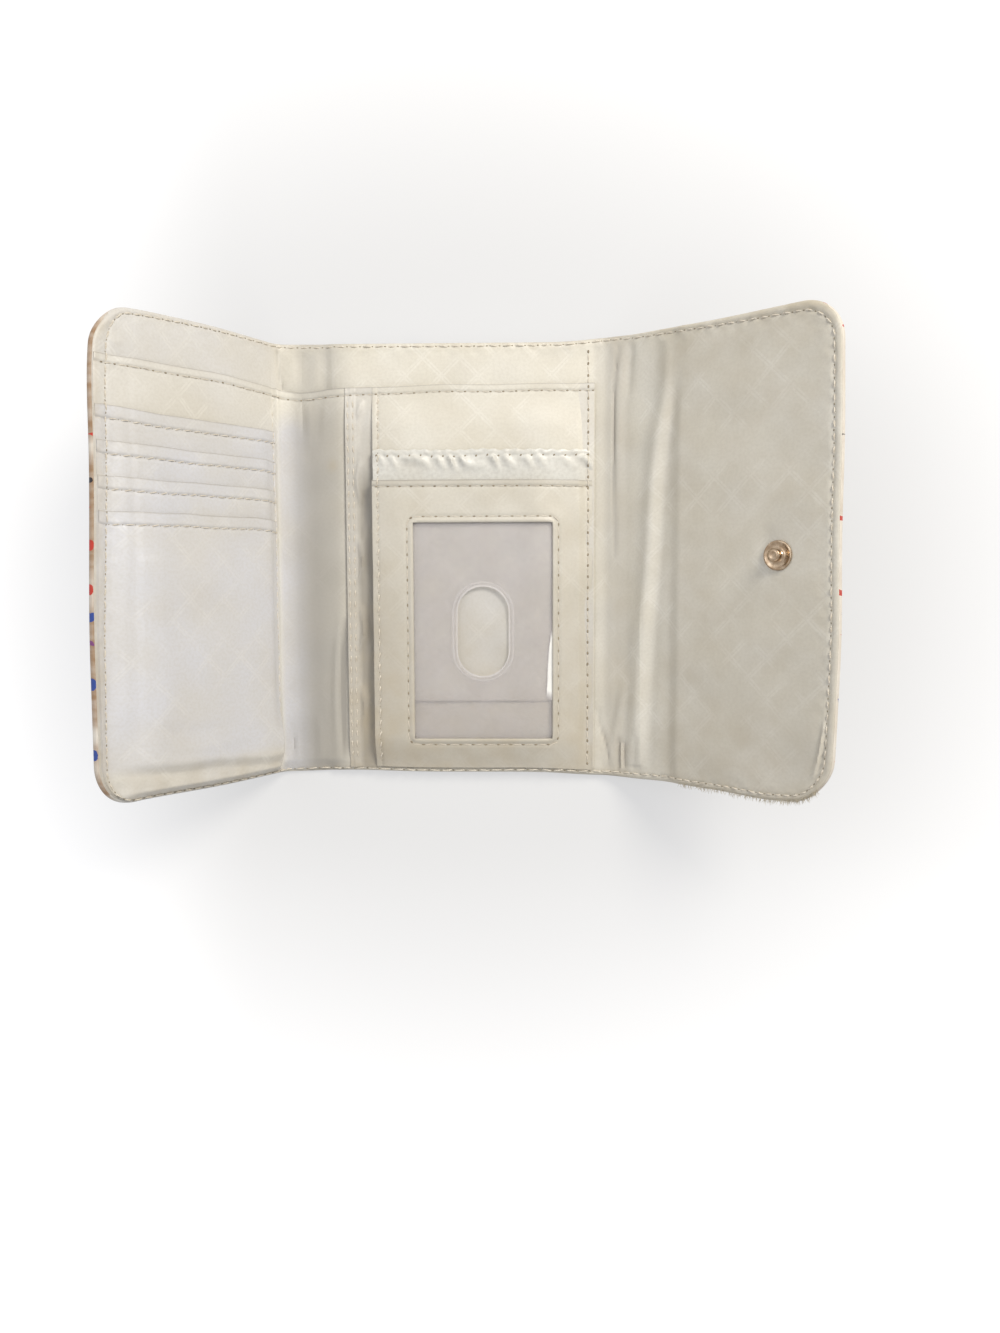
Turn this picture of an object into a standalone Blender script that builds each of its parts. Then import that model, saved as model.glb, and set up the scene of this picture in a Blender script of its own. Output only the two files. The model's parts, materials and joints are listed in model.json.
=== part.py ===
"""A snap-closed trifold wallet, lying open on its back with both sides half raised.

Units are metres and +Z is up. X runs across the wallet, from the card flap at -X to the snap flap
at +X, and Y runs up its height. The origin is under the middle of the open wallet's bounding box,
on the surface that it lies on.

The wallet is five stiff panels joined by four cloth folds. Each panel is modelled in a frame of its
own: an empty on the fold that the panel turns about, with the panel's outer cloth on the frame's XY
plane and its lining above. Distances along a panel are measured from that fold, towards its far side.
"""

import math
from dataclasses import dataclass

import bmesh
import bpy

# Panels, measured on the outer cloth
WALLET_HEIGHT = 0.1400
CENTRE_WIDTH = 0.0912
CARD_FLAP_SHORTFALL = 0.0237
CORNER_RADIUS = 0.0120
FILLING_SPACE = 0.0041

# How far each side stands open in the photograph
LEFT_FLAP_RAISED = math.radians(55.7)
RIGHT_SIDE_RAISED = math.radians(42.3)

# Cloth, board and film, by thickness
OUTER_THICKNESS = 0.0007
BOARD_THICKNESS = 0.0008
SHIELD_THICKNESS = 0.00015
LINING_THICKNESS = 0.0003
POCKET_THICKNESS = 0.0003
WINDOW_THICKNESS = 0.0002
FRAME_THICKNESS = 0.0004

# Spaces between layers
LAYER_GAP = 0.0002
BILL_GAP = 0.0005
SLIP_GAP = 0.0005
CARD_GAP = 0.0008
FOLD_CLEARANCE = 0.0002

# The turned edge of the outer cloth, and how far the board and film stay inside it
EDGE_WALL = 0.0008
BOARD_MARGIN = 0.0022
SHIELD_MARGIN = 0.0032

# Pocket tops, measured down from the wallet's top edge
BILL_LIP_DROP = 0.0152
FIRST_CARD_LIP_DROP = 0.0284
CARD_LIP_STEP = 0.0095
CARD_POCKETS = 4
UPPER_POCKET_LIP_DROP = 0.0358
FRAME_LIP_DROP = 0.0466

# The centre's pocket block, measured from the centre panel's two folds
SLIP_PANEL_START = 0.0045
BLOCK_START = 0.0145
BLOCK_RIGHT_MARGIN = 0.0057

# The card window's edges, measured in from the block, its lip and the wallet's bottom edge
WINDOW_LEFT_MARGIN = 0.0120
WINDOW_RIGHT_MARGIN = 0.0141
WINDOW_TOP_MARGIN = 0.0113
WINDOW_BOTTOM_MARGIN = 0.0120
WINDOW_CORNER_RADIUS = 0.0012
WINDOW_OVERLAP = 0.0030
THUMB_WIDTH = 0.0166
THUMB_HEIGHT = 0.0290

# Sewn seams that close the pockets
SEAM_WIDTH = 0.0036
SEAM_EDGE_HEIGHT = 0.0004
BLOCK_SEAM_WIDTH = 0.0024
FOLD_SEAM_WIDTH = 0.0018

# Where the snap fastener sits on each flap
SOCKET_FROM_EDGE = 0.01045
STUD_FROM_EDGE = 0.0181

# The snap's stud
STUD_FLANGE_RADIUS = 0.00425
STUD_FLANGE_THICKNESS = 0.0005
STUD_NECK_RADIUS = 0.00155
STUD_HEAD_LIP = 0.00035
STUD_HEAD_HEIGHT = 0.0010
STUD_WALL = 0.00045
STUD_ROOF = 0.0004

# The snap's socket, its ring spring and the rivet that holds it
SOCKET_BASE_THICKNESS = 0.0005
SOCKET_LIP = 0.0004
SOCKET_WALL = 0.00285
SPRING_WIRE_RADIUS = 0.00035
SPRING_PLAY = 0.0003
SPRING_GAP_ANGLE = math.radians(50.0)
RIVET_FLANGE_RADIUS = 0.0045
RIVET_FLANGE_THICKNESS = 0.0004
RIVET_FLARE_WIDTH = 0.0004
RIVET_FLARE_HEIGHT = 0.0002
RIVET_WALL = 0.0006

# The cap on the snap flap's outer face
CAP_RADIUS = 0.0062
CAP_SEAT_THICKNESS = 0.0004
CAP_CROWN_HEIGHT = 0.0010

# Clearances in the snap
HOLE_CLEARANCE = 0.0002
SNAP_GAP = 0.0003
SNAP_FIT_GAP = 0.0001
SNAP_TIP_GAP = 0.00015

# Cutters run past what they cut by this much
CUT_OVERRUN = 0.0020

# Facets
CORNER_STEPS = 6
ROUND_STEPS = 32
SPRING_STEPS = 20
WIRE_SIDES = 8

# Turned shapes, as (share of radius, share of height)
CAP_CROWN_SHARES = ((1.0, 0.0), (0.97, 0.35), (0.80, 0.72), (0.50, 0.93), (0.0, 1.0))
SOCKET_RIM_SHARES = ((1.0, 0.0), (1.0, 0.25), (0.94, 0.70), (0.82, 0.95), (0.72, 1.0))
STUD_HEAD_SHARES = ((1.0, 0.35), (1.0, 0.60), (0.72, 1.0))

# Levels above a panel's outer face
BOARD_LEVEL = OUTER_THICKNESS + LAYER_GAP
BOARD_TOP = BOARD_LEVEL + BOARD_THICKNESS
SHIELD_LEVEL = BOARD_TOP + LAYER_GAP
SHIELD_TOP = SHIELD_LEVEL + SHIELD_THICKNESS
LINING_LEVEL = SHIELD_TOP + LAYER_GAP
LINING_TOP = LINING_LEVEL + LINING_THICKNESS
SEAM_LEVEL = LINING_TOP + LAYER_GAP
SEAM_EDGE_TOP = SEAM_LEVEL + SEAM_EDGE_HEIGHT
BILL_LEVEL = LINING_TOP + BILL_GAP
BILL_TOP = BILL_LEVEL + POCKET_THICKNESS
SLIP_LEVEL = BILL_TOP + SLIP_GAP
SLIP_TOP = SLIP_LEVEL + POCKET_THICKNESS
BACK_LEVEL = SLIP_TOP + SLIP_GAP
BACK_TOP = BACK_LEVEL + POCKET_THICKNESS
UPPER_POCKET_LEVEL = BACK_TOP + CARD_GAP
UPPER_POCKET_TOP = UPPER_POCKET_LEVEL + POCKET_THICKNESS
WINDOW_LEVEL = UPPER_POCKET_TOP + CARD_GAP
WINDOW_TOP = WINDOW_LEVEL + WINDOW_THICKNESS
FRAME_LEVEL = WINDOW_TOP + LAYER_GAP
FRAME_TOP = FRAME_LEVEL + FRAME_THICKNESS
CARD_POCKET_PITCH = CARD_GAP + POCKET_THICKNESS
CARD_STACK_TOP = BILL_TOP + CARD_POCKETS * CARD_POCKET_PITCH

# The spines carry no board, and the snap flap no shield film
SPINE_LINING_LEVEL = OUTER_THICKNESS + LAYER_GAP
SPINE_LINING_TOP = SPINE_LINING_LEVEL + LINING_THICKNESS
SPINE_BILL_LEVEL = SPINE_LINING_TOP + BILL_GAP
SPINE_BILL_TOP = SPINE_BILL_LEVEL + POCKET_THICKNESS
SNAP_LINING_LEVEL = BOARD_TOP + LAYER_GAP
SNAP_LINING_TOP = SNAP_LINING_LEVEL + LINING_THICKNESS

# The stud passes the ring spring with its neck, and its head stops short of the rivet
STUD_NECK_HEIGHT = SNAP_GAP + SOCKET_LIP + 2 * SNAP_FIT_GAP + 2 * SPRING_WIRE_RADIUS
STUD_POST_HEIGHT = STUD_NECK_HEIGHT + STUD_HEAD_HEIGHT
STUD_HEAD_RADIUS = STUD_NECK_RADIUS + STUD_HEAD_LIP
STUD_BORE_RADIUS = STUD_NECK_RADIUS - STUD_WALL
CAP_POST_RADIUS = STUD_BORE_RADIUS - HOLE_CLEARANCE
SPRING_RING_RADIUS = STUD_NECK_RADIUS + SNAP_FIT_GAP + SPRING_WIRE_RADIUS
SOCKET_MOUTH_RADIUS = STUD_HEAD_RADIUS + HOLE_CLEARANCE
SOCKET_GROOVE_RADIUS = SPRING_RING_RADIUS + SPRING_WIRE_RADIUS + SPRING_PLAY
SOCKET_GROOVE_HEIGHT = 2 * (SPRING_WIRE_RADIUS + SNAP_FIT_GAP)
SOCKET_RADIUS = SOCKET_GROOVE_RADIUS + SOCKET_WALL
RIVET_FLARE_RADIUS = SOCKET_MOUTH_RADIUS - HOLE_CLEARANCE
RIVET_POST_RADIUS = RIVET_FLARE_RADIUS - RIVET_FLARE_WIDTH
RIVET_BORE_RADIUS = RIVET_POST_RADIUS - RIVET_WALL
RIVET_HOLE_RADIUS = RIVET_POST_RADIUS + HOLE_CLEARANCE
RIVET_END = SOCKET_BASE_THICKNESS + SNAP_FIT_GAP + RIVET_FLARE_HEIGHT
SOCKET_STAND = RIVET_END + SNAP_TIP_GAP + STUD_POST_HEIGHT - SNAP_GAP

# Each spine is as wide as what closes between its two panels is thick
LEFT_SPINE_WIDTH = FRAME_TOP + FILLING_SPACE + CARD_STACK_TOP
SNAP_STACK = LAYER_GAP + SOCKET_STAND + SNAP_GAP + STUD_FLANGE_THICKNESS + LAYER_GAP + SNAP_LINING_TOP
RIGHT_SPINE_WIDTH = LEFT_SPINE_WIDTH + SNAP_STACK

# The stud meets the socket when both sides are closed
LEFT_FLAP_LENGTH = CENTRE_WIDTH - CARD_FLAP_SHORTFALL
SOCKET_DISTANCE = LEFT_FLAP_LENGTH - SOCKET_FROM_EDGE
STUD_DISTANCE = CENTRE_WIDTH - SOCKET_DISTANCE
RIGHT_FLAP_LENGTH = STUD_DISTANCE + STUD_FROM_EDGE

# Heights in the wallet's plane, measured from its middle
HALF_HEIGHT = WALLET_HEIGHT / 2
INNER_HALF_HEIGHT = HALF_HEIGHT - EDGE_WALL - LAYER_GAP
POCKET_FLOOR = -INNER_HALF_HEIGHT + SEAM_WIDTH + LAYER_GAP
BILL_LIP = HALF_HEIGHT - BILL_LIP_DROP
CARD_LIPS = [HALF_HEIGHT - FIRST_CARD_LIP_DROP - CARD_LIP_STEP * n for n in range(CARD_POCKETS)]
UPPER_POCKET_LIP = HALF_HEIGHT - UPPER_POCKET_LIP_DROP
FRAME_LIP = HALF_HEIGHT - FRAME_LIP_DROP

# The pocket block and its window, measured from the centre panel's left fold
BLOCK_END = CENTRE_WIDTH - BLOCK_RIGHT_MARGIN
BLOCK_SEAM_START = BLOCK_END - SEAM_WIDTH
LAYER_END = BLOCK_SEAM_START - LAYER_GAP
WINDOW_START = BLOCK_START + WINDOW_LEFT_MARGIN
WINDOW_END = BLOCK_END - WINDOW_RIGHT_MARGIN
WINDOW_CEILING = FRAME_LIP - WINDOW_TOP_MARGIN
WINDOW_FLOOR = -HALF_HEIGHT + WINDOW_BOTTOM_MARGIN

# Card pockets, measured from the card flap's fold
CARD_SEAM_START = min(CARD_STACK_TOP, SPINE_BILL_TOP) + FOLD_CLEARANCE
CARD_POCKET_START = CARD_SEAM_START + FOLD_SEAM_WIDTH + LAYER_GAP
CARD_SEAM_END = LEFT_FLAP_LENGTH - EDGE_WALL - LAYER_GAP
CARD_POCKET_END = CARD_SEAM_END - SEAM_WIDTH - LAYER_GAP
SEAM_CORNER_RADIUS = CORNER_RADIUS - EDGE_WALL - LAYER_GAP
POCKET_CORNER_RADIUS = SEAM_CORNER_RADIUS - SEAM_WIDTH - LAYER_GAP

# Where the open wallet's middle lies from the middle of its centre panel
HALF_CENTRE = CENTRE_WIDTH / 2
LEFT_REACH = HALF_CENTRE + LEFT_SPINE_WIDTH + LEFT_FLAP_LENGTH * math.cos(LEFT_FLAP_RAISED)
RIGHT_REACH = HALF_CENTRE + (RIGHT_SPINE_WIDTH + RIGHT_FLAP_LENGTH) * math.cos(RIGHT_SIDE_RAISED)
CENTRE_X = (LEFT_REACH - RIGHT_REACH) / 2


@dataclass
class Panel:
    """A panel's frame, and the way along X, 1 or -1, that the panel runs from its fold."""

    frame: bpy.types.Object
    side: int

    def add(self, name, mesh, material):
        """Links a finished bmesh as a named object under the panel's frame."""
        bmesh.ops.recalc_face_normals(mesh, faces=mesh.faces)
        data = bpy.data.meshes.new(name)
        mesh.to_mesh(data)
        mesh.free()
        data.materials.append(material)
        obj = bpy.data.objects.new(name, data)
        bpy.context.scene.collection.objects.link(obj)
        obj.parent = self.frame
        return obj

    def prism(self, name, material, low_outline, high_outline, low, high):
        """A closed solid between two outlines with the same number of points."""
        mesh = bmesh.new()
        bottom = [mesh.verts.new((self.side * x, y, low)) for x, y in low_outline]
        top = [mesh.verts.new((self.side * x, y, high)) for x, y in high_outline]
        mesh.faces.new(bottom)
        mesh.faces.new(top)
        for n in range(len(bottom)):
            after = (n + 1) % len(bottom)
            mesh.faces.new((bottom[n], bottom[after], top[after], top[n]))
        return self.add(name, mesh, material)

    def plate(self, name, material, outline, low, high):
        """A flat layer with upright edges."""
        return self.prism(name, material, outline, outline, low, high)

    def hull(self, name, material, points):
        """The convex solid round a few points."""
        mesh = bmesh.new()
        for x, y, z in points:
            mesh.verts.new((self.side * x, y, z))
        made = bmesh.ops.convex_hull(mesh, input=mesh.verts)
        spare = [item for item in made["geom_interior"] if isinstance(item, bmesh.types.BMVert)]
        bmesh.ops.delete(mesh, geom=spare, context="VERTS")
        return self.add(name, mesh, material)

    def turned(self, name, material, profile, distance):
        """A solid of revolution about an upright axis, from a closed run of (radius, height)."""
        mesh = bmesh.new()
        middle = self.side * distance
        rings = []
        for radius, height in profile:
            count = ROUND_STEPS if radius else 1
            angles = [math.tau * n / count for n in range(count)]
            places = [(middle + radius * math.cos(a), radius * math.sin(a), height) for a in angles]
            rings.append([mesh.verts.new(place) for place in places])
        for ring, after in zip(rings, rings[1:] + rings[:1]):
            join_rings(mesh, ring, after)
        return shade_round(self.add(name, mesh, material))


def join_rings(mesh, ring, after):
    """Faces between two rings of a turned piece, either of which may be one point on the axis."""
    if len(ring) == 1 and len(after) == 1:
        return
    count = max(len(ring), len(after))
    for n in range(count):
        following = (n + 1) % count
        if len(ring) == 1:
            mesh.faces.new((ring[0], after[following], after[n]))
        elif len(after) == 1:
            mesh.faces.new((ring[n], ring[following], after[0]))
        else:
            mesh.faces.new((ring[n], ring[following], after[following], after[n]))


def shade_round(obj):
    """Smooth shading with crisp edges, for turned pieces."""
    obj.data.shade_smooth()
    obj.data.set_sharp_from_angle(angle=math.radians(35.0))
    return obj


def clear_scene():
    """Removes whatever the scene holds."""
    for obj in list(bpy.data.objects):
        bpy.data.objects.remove(obj)


def make_material(name, colour, roughness, metallic=0.0, alpha=1.0):
    """A plain Principled material."""
    material = bpy.data.materials.new(name)
    material.use_nodes = True
    shader = material.node_tree.nodes["Principled BSDF"]
    shader.inputs["Base Color"].default_value = (*colour, 1.0)
    shader.inputs["Roughness"].default_value = roughness
    shader.inputs["Metallic"].default_value = metallic
    shader.inputs["Alpha"].default_value = alpha
    return material


def make_frame(name, parent, x, turn=0.0):
    """An empty on a fold's axis, which carries the pieces of one panel."""
    frame = bpy.data.objects.new(name, None)
    bpy.context.scene.collection.objects.link(frame)
    frame.parent = parent
    frame.location = (x, 0.0, 0.0)
    frame.rotation_euler = (0.0, turn, 0.0)
    return frame


def arc(centre, radius, start, sweep):
    """Points along an arc, anticlockwise from the start angle."""
    steps = round(CORNER_STEPS * sweep / (math.pi / 2))
    angles = [start + sweep * n / steps for n in range(steps + 1)]
    return [(centre[0] + radius * math.cos(a), centre[1] + radius * math.sin(a)) for a in angles]


def corner(x, y, radius, start):
    """A quarter arc that ends a side at the corner point (x, y), or that point where the radius is zero."""
    if radius == 0.0:
        return [(x, y)]
    middle_y = y + radius if start < 0.0 else y - radius
    return arc((x - radius, middle_y), radius, start, math.pi / 2)


def outline(start, end, floor, ceiling, low_radius=0.0, high_radius=0.0):
    """A layer's plan, square on its fold side, whose two far corners may be round."""
    low_corner = corner(end, floor, low_radius, -math.pi / 2)
    high_corner = corner(end, ceiling, high_radius, 0.0)
    return [(start, floor), *low_corner, *high_corner, (start, ceiling)]


def rounded_box(left, right, floor, ceiling, radius):
    """A rectangle with four round corners."""
    quarter = math.pi / 2
    points = arc((right - radius, floor + radius), radius, -quarter, quarter)
    points += arc((right - radius, ceiling - radius), radius, 0.0, quarter)
    points += arc((left + radius, ceiling - radius), radius, quarter, quarter)
    points += arc((left + radius, floor + radius), radius, math.pi, quarter)
    return points


def stadium(middle_x, middle_y, width, height):
    """An upright slot with half round ends."""
    radius = width / 2
    reach = height / 2 - radius
    points = arc((middle_x, middle_y + reach), radius, 0.0, math.pi)
    return points + arc((middle_x, middle_y - reach), radius, math.pi, math.pi)


def cut(obj, cutter):
    """Takes the cutter's shape out of an object."""
    cutter.hide_render = True
    cutter.display_type = "WIRE"
    modifier = obj.modifiers.new(cutter.name, "BOOLEAN")
    modifier.operation = "DIFFERENCE"
    modifier.solver = "EXACT"
    modifier.object = cutter
    return obj


def round_cutter(panel, name, material, radius, low, high, distance):
    """An upright cylinder that cuts a hole."""
    return panel.turned(name, material, [(0.0, low), (radius, low), (radius, high), (0.0, high)], distance)


def setback(height, spine_top):
    """How far a layer stays back from a fold, so that panel and spine can close to a right angle."""
    return min(height, spine_top) + FOLD_CLEARANCE


def tray(panel, name, material, length, top, radius=None):
    """One panel's outer cloth, with its edges turned up round the lining.

    The fold sides are open, and mitred so that the panels close to a right angle on their outer faces.
    The far side is another fold where no corner radius is given, and otherwise a turned edge.
    """
    inner = HALF_HEIGHT - EDGE_WALL
    mitre = FOLD_CLEARANCE + top
    if radius is None:
        low = outline(FOLD_CLEARANCE, length - FOLD_CLEARANCE, -HALF_HEIGHT, HALF_HEIGHT)
        high = outline(mitre, length - mitre, -HALF_HEIGHT, HALF_HEIGHT)
        well = outline(-CUT_OVERRUN, length + CUT_OVERRUN, -inner, inner)
    else:
        low = outline(FOLD_CLEARANCE, length, -HALF_HEIGHT, HALF_HEIGHT, radius, radius)
        high = outline(mitre, length, -HALF_HEIGHT, HALF_HEIGHT, radius, radius)
        inner_radius = radius - EDGE_WALL
        well = outline(-CUT_OVERRUN, length - EDGE_WALL, -inner, inner, inner_radius, inner_radius)
    cloth = panel.prism(name, material, low, high, 0.0, top)
    cutter = panel.plate(name + "_well", material, well, OUTER_THICKNESS, top + CUT_OVERRUN)
    return cut(cloth, cutter)


def inner_layer(panel, name, material, length, margin, low, high, spine_top, far_spine_top=None):
    """A layer inside the turned edge, margin inside its wall. The far side may be a fold too."""
    half = HALF_HEIGHT - EDGE_WALL - margin
    start = setback(high, spine_top)
    if far_spine_top is None:
        end = length - EDGE_WALL - margin
        radius = CORNER_RADIUS - EDGE_WALL - margin
    else:
        end = length - setback(high, far_spine_top)
        radius = 0.0
    return panel.plate(name, material, outline(start, end, -half, half, radius, radius), low, high)


def ridge(panel, name, material, start, end, floor, stations, far_top=None):
    """A sewn seam that runs up a pocket block's side, from its floor through (y, height) stations.

    Its far edge is as low as far_top where that is given, and otherwise as tall as the near one.
    """
    points = []
    for y, height in [(floor, stations[0][1]), *stations]:
        points += [(start, y, SEAM_LEVEL), (end, y, SEAM_LEVEL)]
        points += [(start, y, height), (end, y, height if far_top is None else far_top)]
    return panel.hull(name, material, points)


def bottom_seam(panel, name, material, start, end, stack_top):
    """The seam under a pocket block, tall against the pockets and thin at the wallet's edge."""
    near = POCKET_FLOOR - LAYER_GAP
    far = -INNER_HALF_HEIGHT
    points = []
    for x in (start, end):
        points += [(x, near, SEAM_LEVEL), (x, near, stack_top)]
        points += [(x, far, SEAM_LEVEL), (x, far, SEAM_EDGE_TOP)]
    return panel.hull(name, material, points)


def corner_seam(panel, name, material, end, inner_radius, outer_radius, stack_top):
    """The seam round the card flap's lower corner, between the side seam and the bottom seam."""
    middle = (end - outer_radius, -INNER_HALF_HEIGHT + outer_radius)
    sweep = math.pi / 2
    turn_gap = LAYER_GAP / inner_radius
    inner = arc(middle, inner_radius, -sweep + turn_gap, sweep - 2 * turn_gap)
    outer = arc(middle, outer_radius, -sweep + turn_gap, sweep - 2 * turn_gap)
    mesh = bmesh.new()
    rings = []
    for near, far in zip(inner, outer):
        places = [(near, SEAM_LEVEL), (near, stack_top), (far, SEAM_EDGE_TOP), (far, SEAM_LEVEL)]
        rings.append([mesh.verts.new((panel.side * x, y, z)) for (x, y), z in places])
    for ring, after in zip(rings, rings[1:]):
        join_rings(mesh, ring, after)
    mesh.faces.new(rings[0])
    mesh.faces.new(rings[-1])
    return panel.add(name, mesh, material)


def build_materials():
    """The wallet's materials, by name."""
    return {
        "print": make_material("printed_cotton", (0.86, 0.82, 0.74), 0.75),
        "lining": make_material("jacquard_lining", (0.71, 0.70, 0.65), 0.55),
        "satin": make_material("satin_ribbon", (0.74, 0.74, 0.72), 0.35),
        "board": make_material("stiffening_board", (0.80, 0.80, 0.78), 0.90),
        "shield": make_material("shield_film", (0.62, 0.63, 0.65), 0.35, metallic=1.0),
        "window": make_material("clear_vinyl", (0.92, 0.93, 0.94), 0.10, alpha=0.25),
        "metal": make_material("nickel_plate", (0.66, 0.62, 0.56), 0.25, metallic=1.0),
    }


def build_panels():
    """The five panels' frames, each on its fold. The centre panel is measured from its left fold."""
    middle = make_frame("centre_frame", None, CENTRE_X)
    left_fold = make_frame("centre_left_fold", middle, -HALF_CENTRE)
    left_spine = make_frame("left_spine_frame", middle, -HALF_CENTRE)
    left_flap = make_frame("left_flap_frame", left_spine, -LEFT_SPINE_WIDTH, LEFT_FLAP_RAISED)
    right_spine = make_frame("right_spine_frame", middle, HALF_CENTRE, -RIGHT_SIDE_RAISED)
    right_flap = make_frame("right_flap_frame", right_spine, RIGHT_SPINE_WIDTH)
    return {
        "centre": Panel(left_fold, 1),
        "left_spine": Panel(left_spine, -1),
        "left_flap": Panel(left_flap, -1),
        "right_spine": Panel(right_spine, 1),
        "right_flap": Panel(right_flap, 1),
    }


def build_centre_shell(panel, materials):
    """The centre panel's outer cloth, board, shield film and lining."""
    tops = (SPINE_BILL_TOP, SPINE_LINING_TOP)
    tray(panel, "outer_centre", materials["print"], CENTRE_WIDTH, LINING_TOP)
    layers = (
        ("centre_board", "board", BOARD_MARGIN, BOARD_LEVEL, BOARD_TOP),
        ("centre_shield_film", "shield", SHIELD_MARGIN, SHIELD_LEVEL, SHIELD_TOP),
        ("centre_lining", "lining", LAYER_GAP, LINING_LEVEL, LINING_TOP),
    )
    for name, material, margin, low, high in layers:
        inner_layer(panel, name, materials[material], CENTRE_WIDTH, margin, low, high, *tops)


def build_centre_pockets(panel, materials):
    """The pocket layers on the centre panel, back to front."""
    bill_start = setback(BILL_TOP, SPINE_BILL_TOP)
    ribbon_start = BLOCK_START + BLOCK_SEAM_WIDTH + LAYER_GAP
    layers = (
        ("bill_pocket_centre", "lining", bill_start, BILL_LIP, BILL_LEVEL, BILL_TOP),
        ("slip_pocket_panel", "lining", SLIP_PANEL_START, BILL_LIP, SLIP_LEVEL, SLIP_TOP),
        ("id_pocket_back", "lining", BLOCK_START, BILL_LIP, BACK_LEVEL, BACK_TOP),
        (
            "ribbon_card_pocket",
            "satin",
            ribbon_start,
            UPPER_POCKET_LIP,
            UPPER_POCKET_LEVEL,
            UPPER_POCKET_TOP,
        ),
    )
    for name, material, start, lip, low, high in layers:
        panel.plate(name, materials[material], outline(start, LAYER_END, POCKET_FLOOR, lip), low, high)


def build_window(panel, materials):
    """The window's cloth frame, and the clear film behind it with its thumb hole."""
    cloth = materials["lining"]
    film = materials["window"]
    frame_plan = outline(BLOCK_START, LAYER_END, POCKET_FLOOR, FRAME_LIP)
    frame = panel.plate("id_window_frame", cloth, frame_plan, FRAME_LEVEL, FRAME_TOP)
    opening = rounded_box(WINDOW_START, WINDOW_END, WINDOW_FLOOR, WINDOW_CEILING, WINDOW_CORNER_RADIUS)
    low = WINDOW_LEVEL - CUT_OVERRUN
    high = FRAME_TOP + CUT_OVERRUN
    cut(frame, panel.plate("window_opening", cloth, opening, low, high))
    film_plan = outline(
        WINDOW_START - WINDOW_OVERLAP,
        WINDOW_END + WINDOW_OVERLAP,
        WINDOW_FLOOR - WINDOW_OVERLAP,
        WINDOW_CEILING + WINDOW_OVERLAP,
    )
    sheet = panel.plate("id_window_film", film, film_plan, WINDOW_LEVEL, WINDOW_TOP)
    middle_x = (WINDOW_START + WINDOW_END) / 2
    middle_y = (WINDOW_FLOOR + WINDOW_CEILING) / 2
    thumb = stadium(middle_x, middle_y, THUMB_WIDTH, THUMB_HEIGHT)
    cut(sheet, panel.plate("thumb_opening", film, thumb, low, high))


def build_centre_seams(panel, cloth):
    """The sewn seams that close the pocket block at its left, right and bottom."""
    left = outline(BLOCK_START, BLOCK_START + BLOCK_SEAM_WIDTH, POCKET_FLOOR, FRAME_LIP)
    panel.plate("id_pocket_left_seam", cloth, left, BACK_TOP + LAYER_GAP, FRAME_LEVEL - LAYER_GAP)
    stations = [(FRAME_LIP, FRAME_TOP), (BILL_LIP, BACK_TOP)]
    ridge(
        panel,
        "id_pocket_right_seam",
        cloth,
        BLOCK_SEAM_START,
        BLOCK_END,
        POCKET_FLOOR,
        stations,
        SEAM_EDGE_TOP,
    )
    bottom_seam(panel, "id_pocket_bottom_seam", cloth, BLOCK_START, LAYER_END, FRAME_TOP)


def build_left_spine(panel, materials):
    """The narrow spine between the centre and the card flap, with the bill pocket's stretch over it."""
    tray(panel, "outer_left_spine", materials["print"], LEFT_SPINE_WIDTH, SPINE_LINING_TOP)
    inner_layer(
        panel,
        "left_spine_lining",
        materials["lining"],
        LEFT_SPINE_WIDTH,
        LAYER_GAP,
        SPINE_LINING_LEVEL,
        SPINE_LINING_TOP,
        SPINE_LINING_TOP,
        SPINE_LINING_TOP,
    )
    start = setback(SPINE_BILL_TOP, SPINE_BILL_TOP)
    bill = outline(start, LEFT_SPINE_WIDTH - start, -INNER_HALF_HEIGHT, BILL_LIP)
    panel.plate("bill_pocket_left_spine", materials["lining"], bill, SPINE_BILL_LEVEL, SPINE_BILL_TOP)


def build_left_flap(panel, materials):
    """The card flap's shell, with the holes that its half of the snap is riveted through."""
    cloth = tray(panel, "outer_left_flap", materials["print"], LEFT_FLAP_LENGTH, LINING_TOP, CORNER_RADIUS)
    layers = (
        ("left_flap_board", "board", BOARD_MARGIN, BOARD_LEVEL, BOARD_TOP),
        ("left_flap_shield_film", "shield", SHIELD_MARGIN, SHIELD_LEVEL, SHIELD_TOP),
        ("left_flap_lining", "lining", LAYER_GAP, LINING_LEVEL, LINING_TOP),
    )
    made = [
        inner_layer(panel, name, materials[material], LEFT_FLAP_LENGTH, margin, low, high, SPINE_BILL_TOP)
        for name, material, margin, low, high in layers
    ]
    cut_rivet_holes(panel, materials["metal"], cloth, made[0])


def cut_rivet_holes(panel, metal, cloth, board):
    """The hole for the socket's rivet through cloth and board, and the sunk seat for its flange."""
    hole = round_cutter(
        panel, "rivet_hole", metal, RIVET_HOLE_RADIUS, -CUT_OVERRUN, BOARD_TOP + CUT_OVERRUN, SOCKET_DISTANCE
    )
    cut(cloth, hole)
    cut(board, hole)
    seat_radius = RIVET_FLANGE_RADIUS + HOLE_CLEARANCE
    seat_floor = BOARD_TOP - RIVET_FLANGE_THICKNESS - LAYER_GAP
    seat = round_cutter(
        panel, "rivet_seat", metal, seat_radius, seat_floor, BOARD_TOP + CUT_OVERRUN, SOCKET_DISTANCE
    )
    cut(board, seat)


def build_card_pockets(panel, cloth):
    """The bill pocket's end and the card pockets in front of it, each a step lower than the last."""
    lips = [("bill_pocket_left_flap", BILL_LIP, BILL_LEVEL)]
    for n, lip in enumerate(CARD_LIPS):
        lips.append((f"card_pocket_{n + 1}", lip, BILL_TOP + CARD_GAP + CARD_POCKET_PITCH * n))
    for name, lip, level in lips:
        plan = outline(CARD_POCKET_START, CARD_POCKET_END, POCKET_FLOOR, lip, POCKET_CORNER_RADIUS)
        panel.plate(name, cloth, plan, level, level + POCKET_THICKNESS)


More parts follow.
